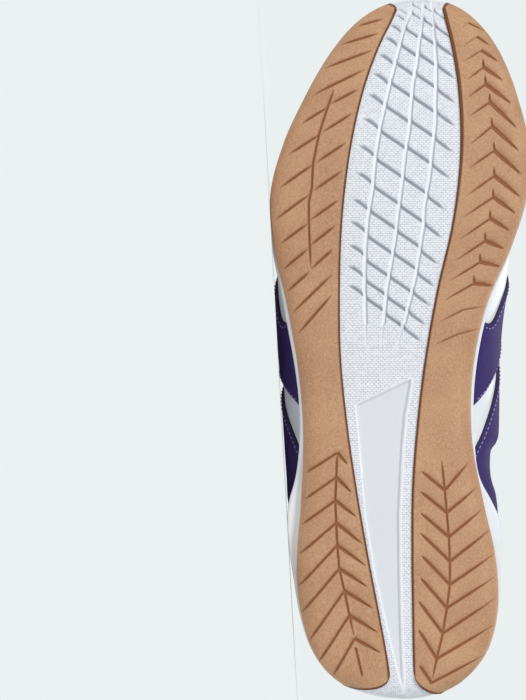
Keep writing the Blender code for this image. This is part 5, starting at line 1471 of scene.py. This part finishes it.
for kind, (name, colour, slot) in THREADS.items():
    # Bonded thread: a soft sheen, with a twist of 0.5 mm
    thread, tree, shader, place = new_material(name, colour, 0.55)
    twist = add(tree, "ShaderNodeTexNoise", {"Vector": place, "Scale": 2000.0}).outputs["Fac"]
    bump = add(tree, "ShaderNodeBump", {"Height": twist, "Distance": 0.1 * MM})
    tree.links.new(bump.outputs[0], shader.inputs["Normal"])
    mesh = bpy.data.meshes.new("stitches_" + kind)
    verts, edges_of_path = [], []
    for path in stitch_paths[kind]:
        start_index = len(verts)
        verts += [tuple(p) for p in path @ REST_TURN.T + np.array(REST_SHIFT)]
        edges_of_path += [(start_index + j, start_index + j + 1) for j in range(len(path) - 1)]
    mesh.from_pydata(verts, edges_of_path, [])
    made = bpy.data.objects.new("stitches_" + kind, mesh)
    bpy.context.scene.collection.objects.link(made)
    modifier = made.modifiers.new("rows", "NODES")
    modifier.node_group = group
    values = {"Pitch": STITCH_PITCH, "Length": STITCH_LENGTH, "Thickness": STITCH_THICKNESS, "Thread": thread}
    for key, value in values.items():
        modifier[socket_of[key]] = value
    depsgraph = bpy.context.evaluated_depsgraph_get()
    plain_mesh = bpy.data.meshes.new_from_object(made.evaluated_get(depsgraph))
    made.modifiers.clear()
    made.data = plain_mesh
    show(made, slot)


# Floor, backdrop and light
# Pale paper under soft studio light. The main light comes from above, from the toe and from the camera's
# side. A weak one without shadows stands for the light that the studio throws back from below.

BACKDROP = "#eaeff0"
HORIZON_GLOW, SKY_LIGHT = 1.0, 0.55
FLOOR_HALF = 15

paper, tree, shader, place = new_material("pale_paper", "#eaeded", 0.9, Specular_IOR_Level=0.0)
tooth = add(tree, "ShaderNodeTexNoise", {"Vector": place, "Scale": 900.0}).outputs["Fac"]
bump = add(tree, "ShaderNodeBump", {"Height": tooth, "Distance": 0.02 * MM})
tree.links.new(bump.outputs[0], shader.inputs["Normal"])
floor_mesh = bpy.data.meshes.new("floor")
corners = [(x * FLOOR_HALF, y * FLOOR_HALF, 0) for x, y in ((-1, -1), (1, -1), (1, 1), (-1, 1))]
floor_mesh.from_pydata(corners, [], [(0, 1, 2, 3)])
floor_mesh.materials.append(paper)
floor = bpy.data.objects.new("floor", floor_mesh)
bpy.context.scene.collection.objects.link(floor)

world = bpy.data.worlds.new("studio")
bpy.context.scene.world = world
world.use_nodes = True
tree = world.node_tree
direction = add(tree, "ShaderNodeTexCoord").outputs["Generated"]
height = add(tree, "ShaderNodeSeparateXYZ", {0: direction}).outputs[2]
glow = add(
    tree, "ShaderNodeMapRange", {"Value": height, 1: 0.10, 2: 0.30, 3: HORIZON_GLOW, 4: SKY_LIGHT}
).outputs[0]
background = tree.nodes["Background"]
background.inputs[0].default_value = linear(BACKDROP)
tree.links.new(glow, background.inputs[1])

for name, energy, angle, travels in (
    ("key_light", 1.74, 12, (0.60, -0.34, 0.72)),
    ("under_fill", 0.52, 30, (-0.97, 0.05, 0.16)),
    ("rear_fill", 0.9, 30, (0.70, 0.25, -0.65)),
):
    light = bpy.data.lights.new(name, "SUN")
    light.energy = energy
    light.angle = math.radians(angle)
    light.use_shadow = name != "under_fill"
    lamp = bpy.data.objects.new(name, light)
    bpy.context.scene.collection.objects.link(lamp)
    lamp.rotation_euler = (REST.to_3x3() @ Vector(travels)).to_track_quat("-Z", "Y").to_euler()
bpy.context.scene.view_settings.view_transform = "Standard"
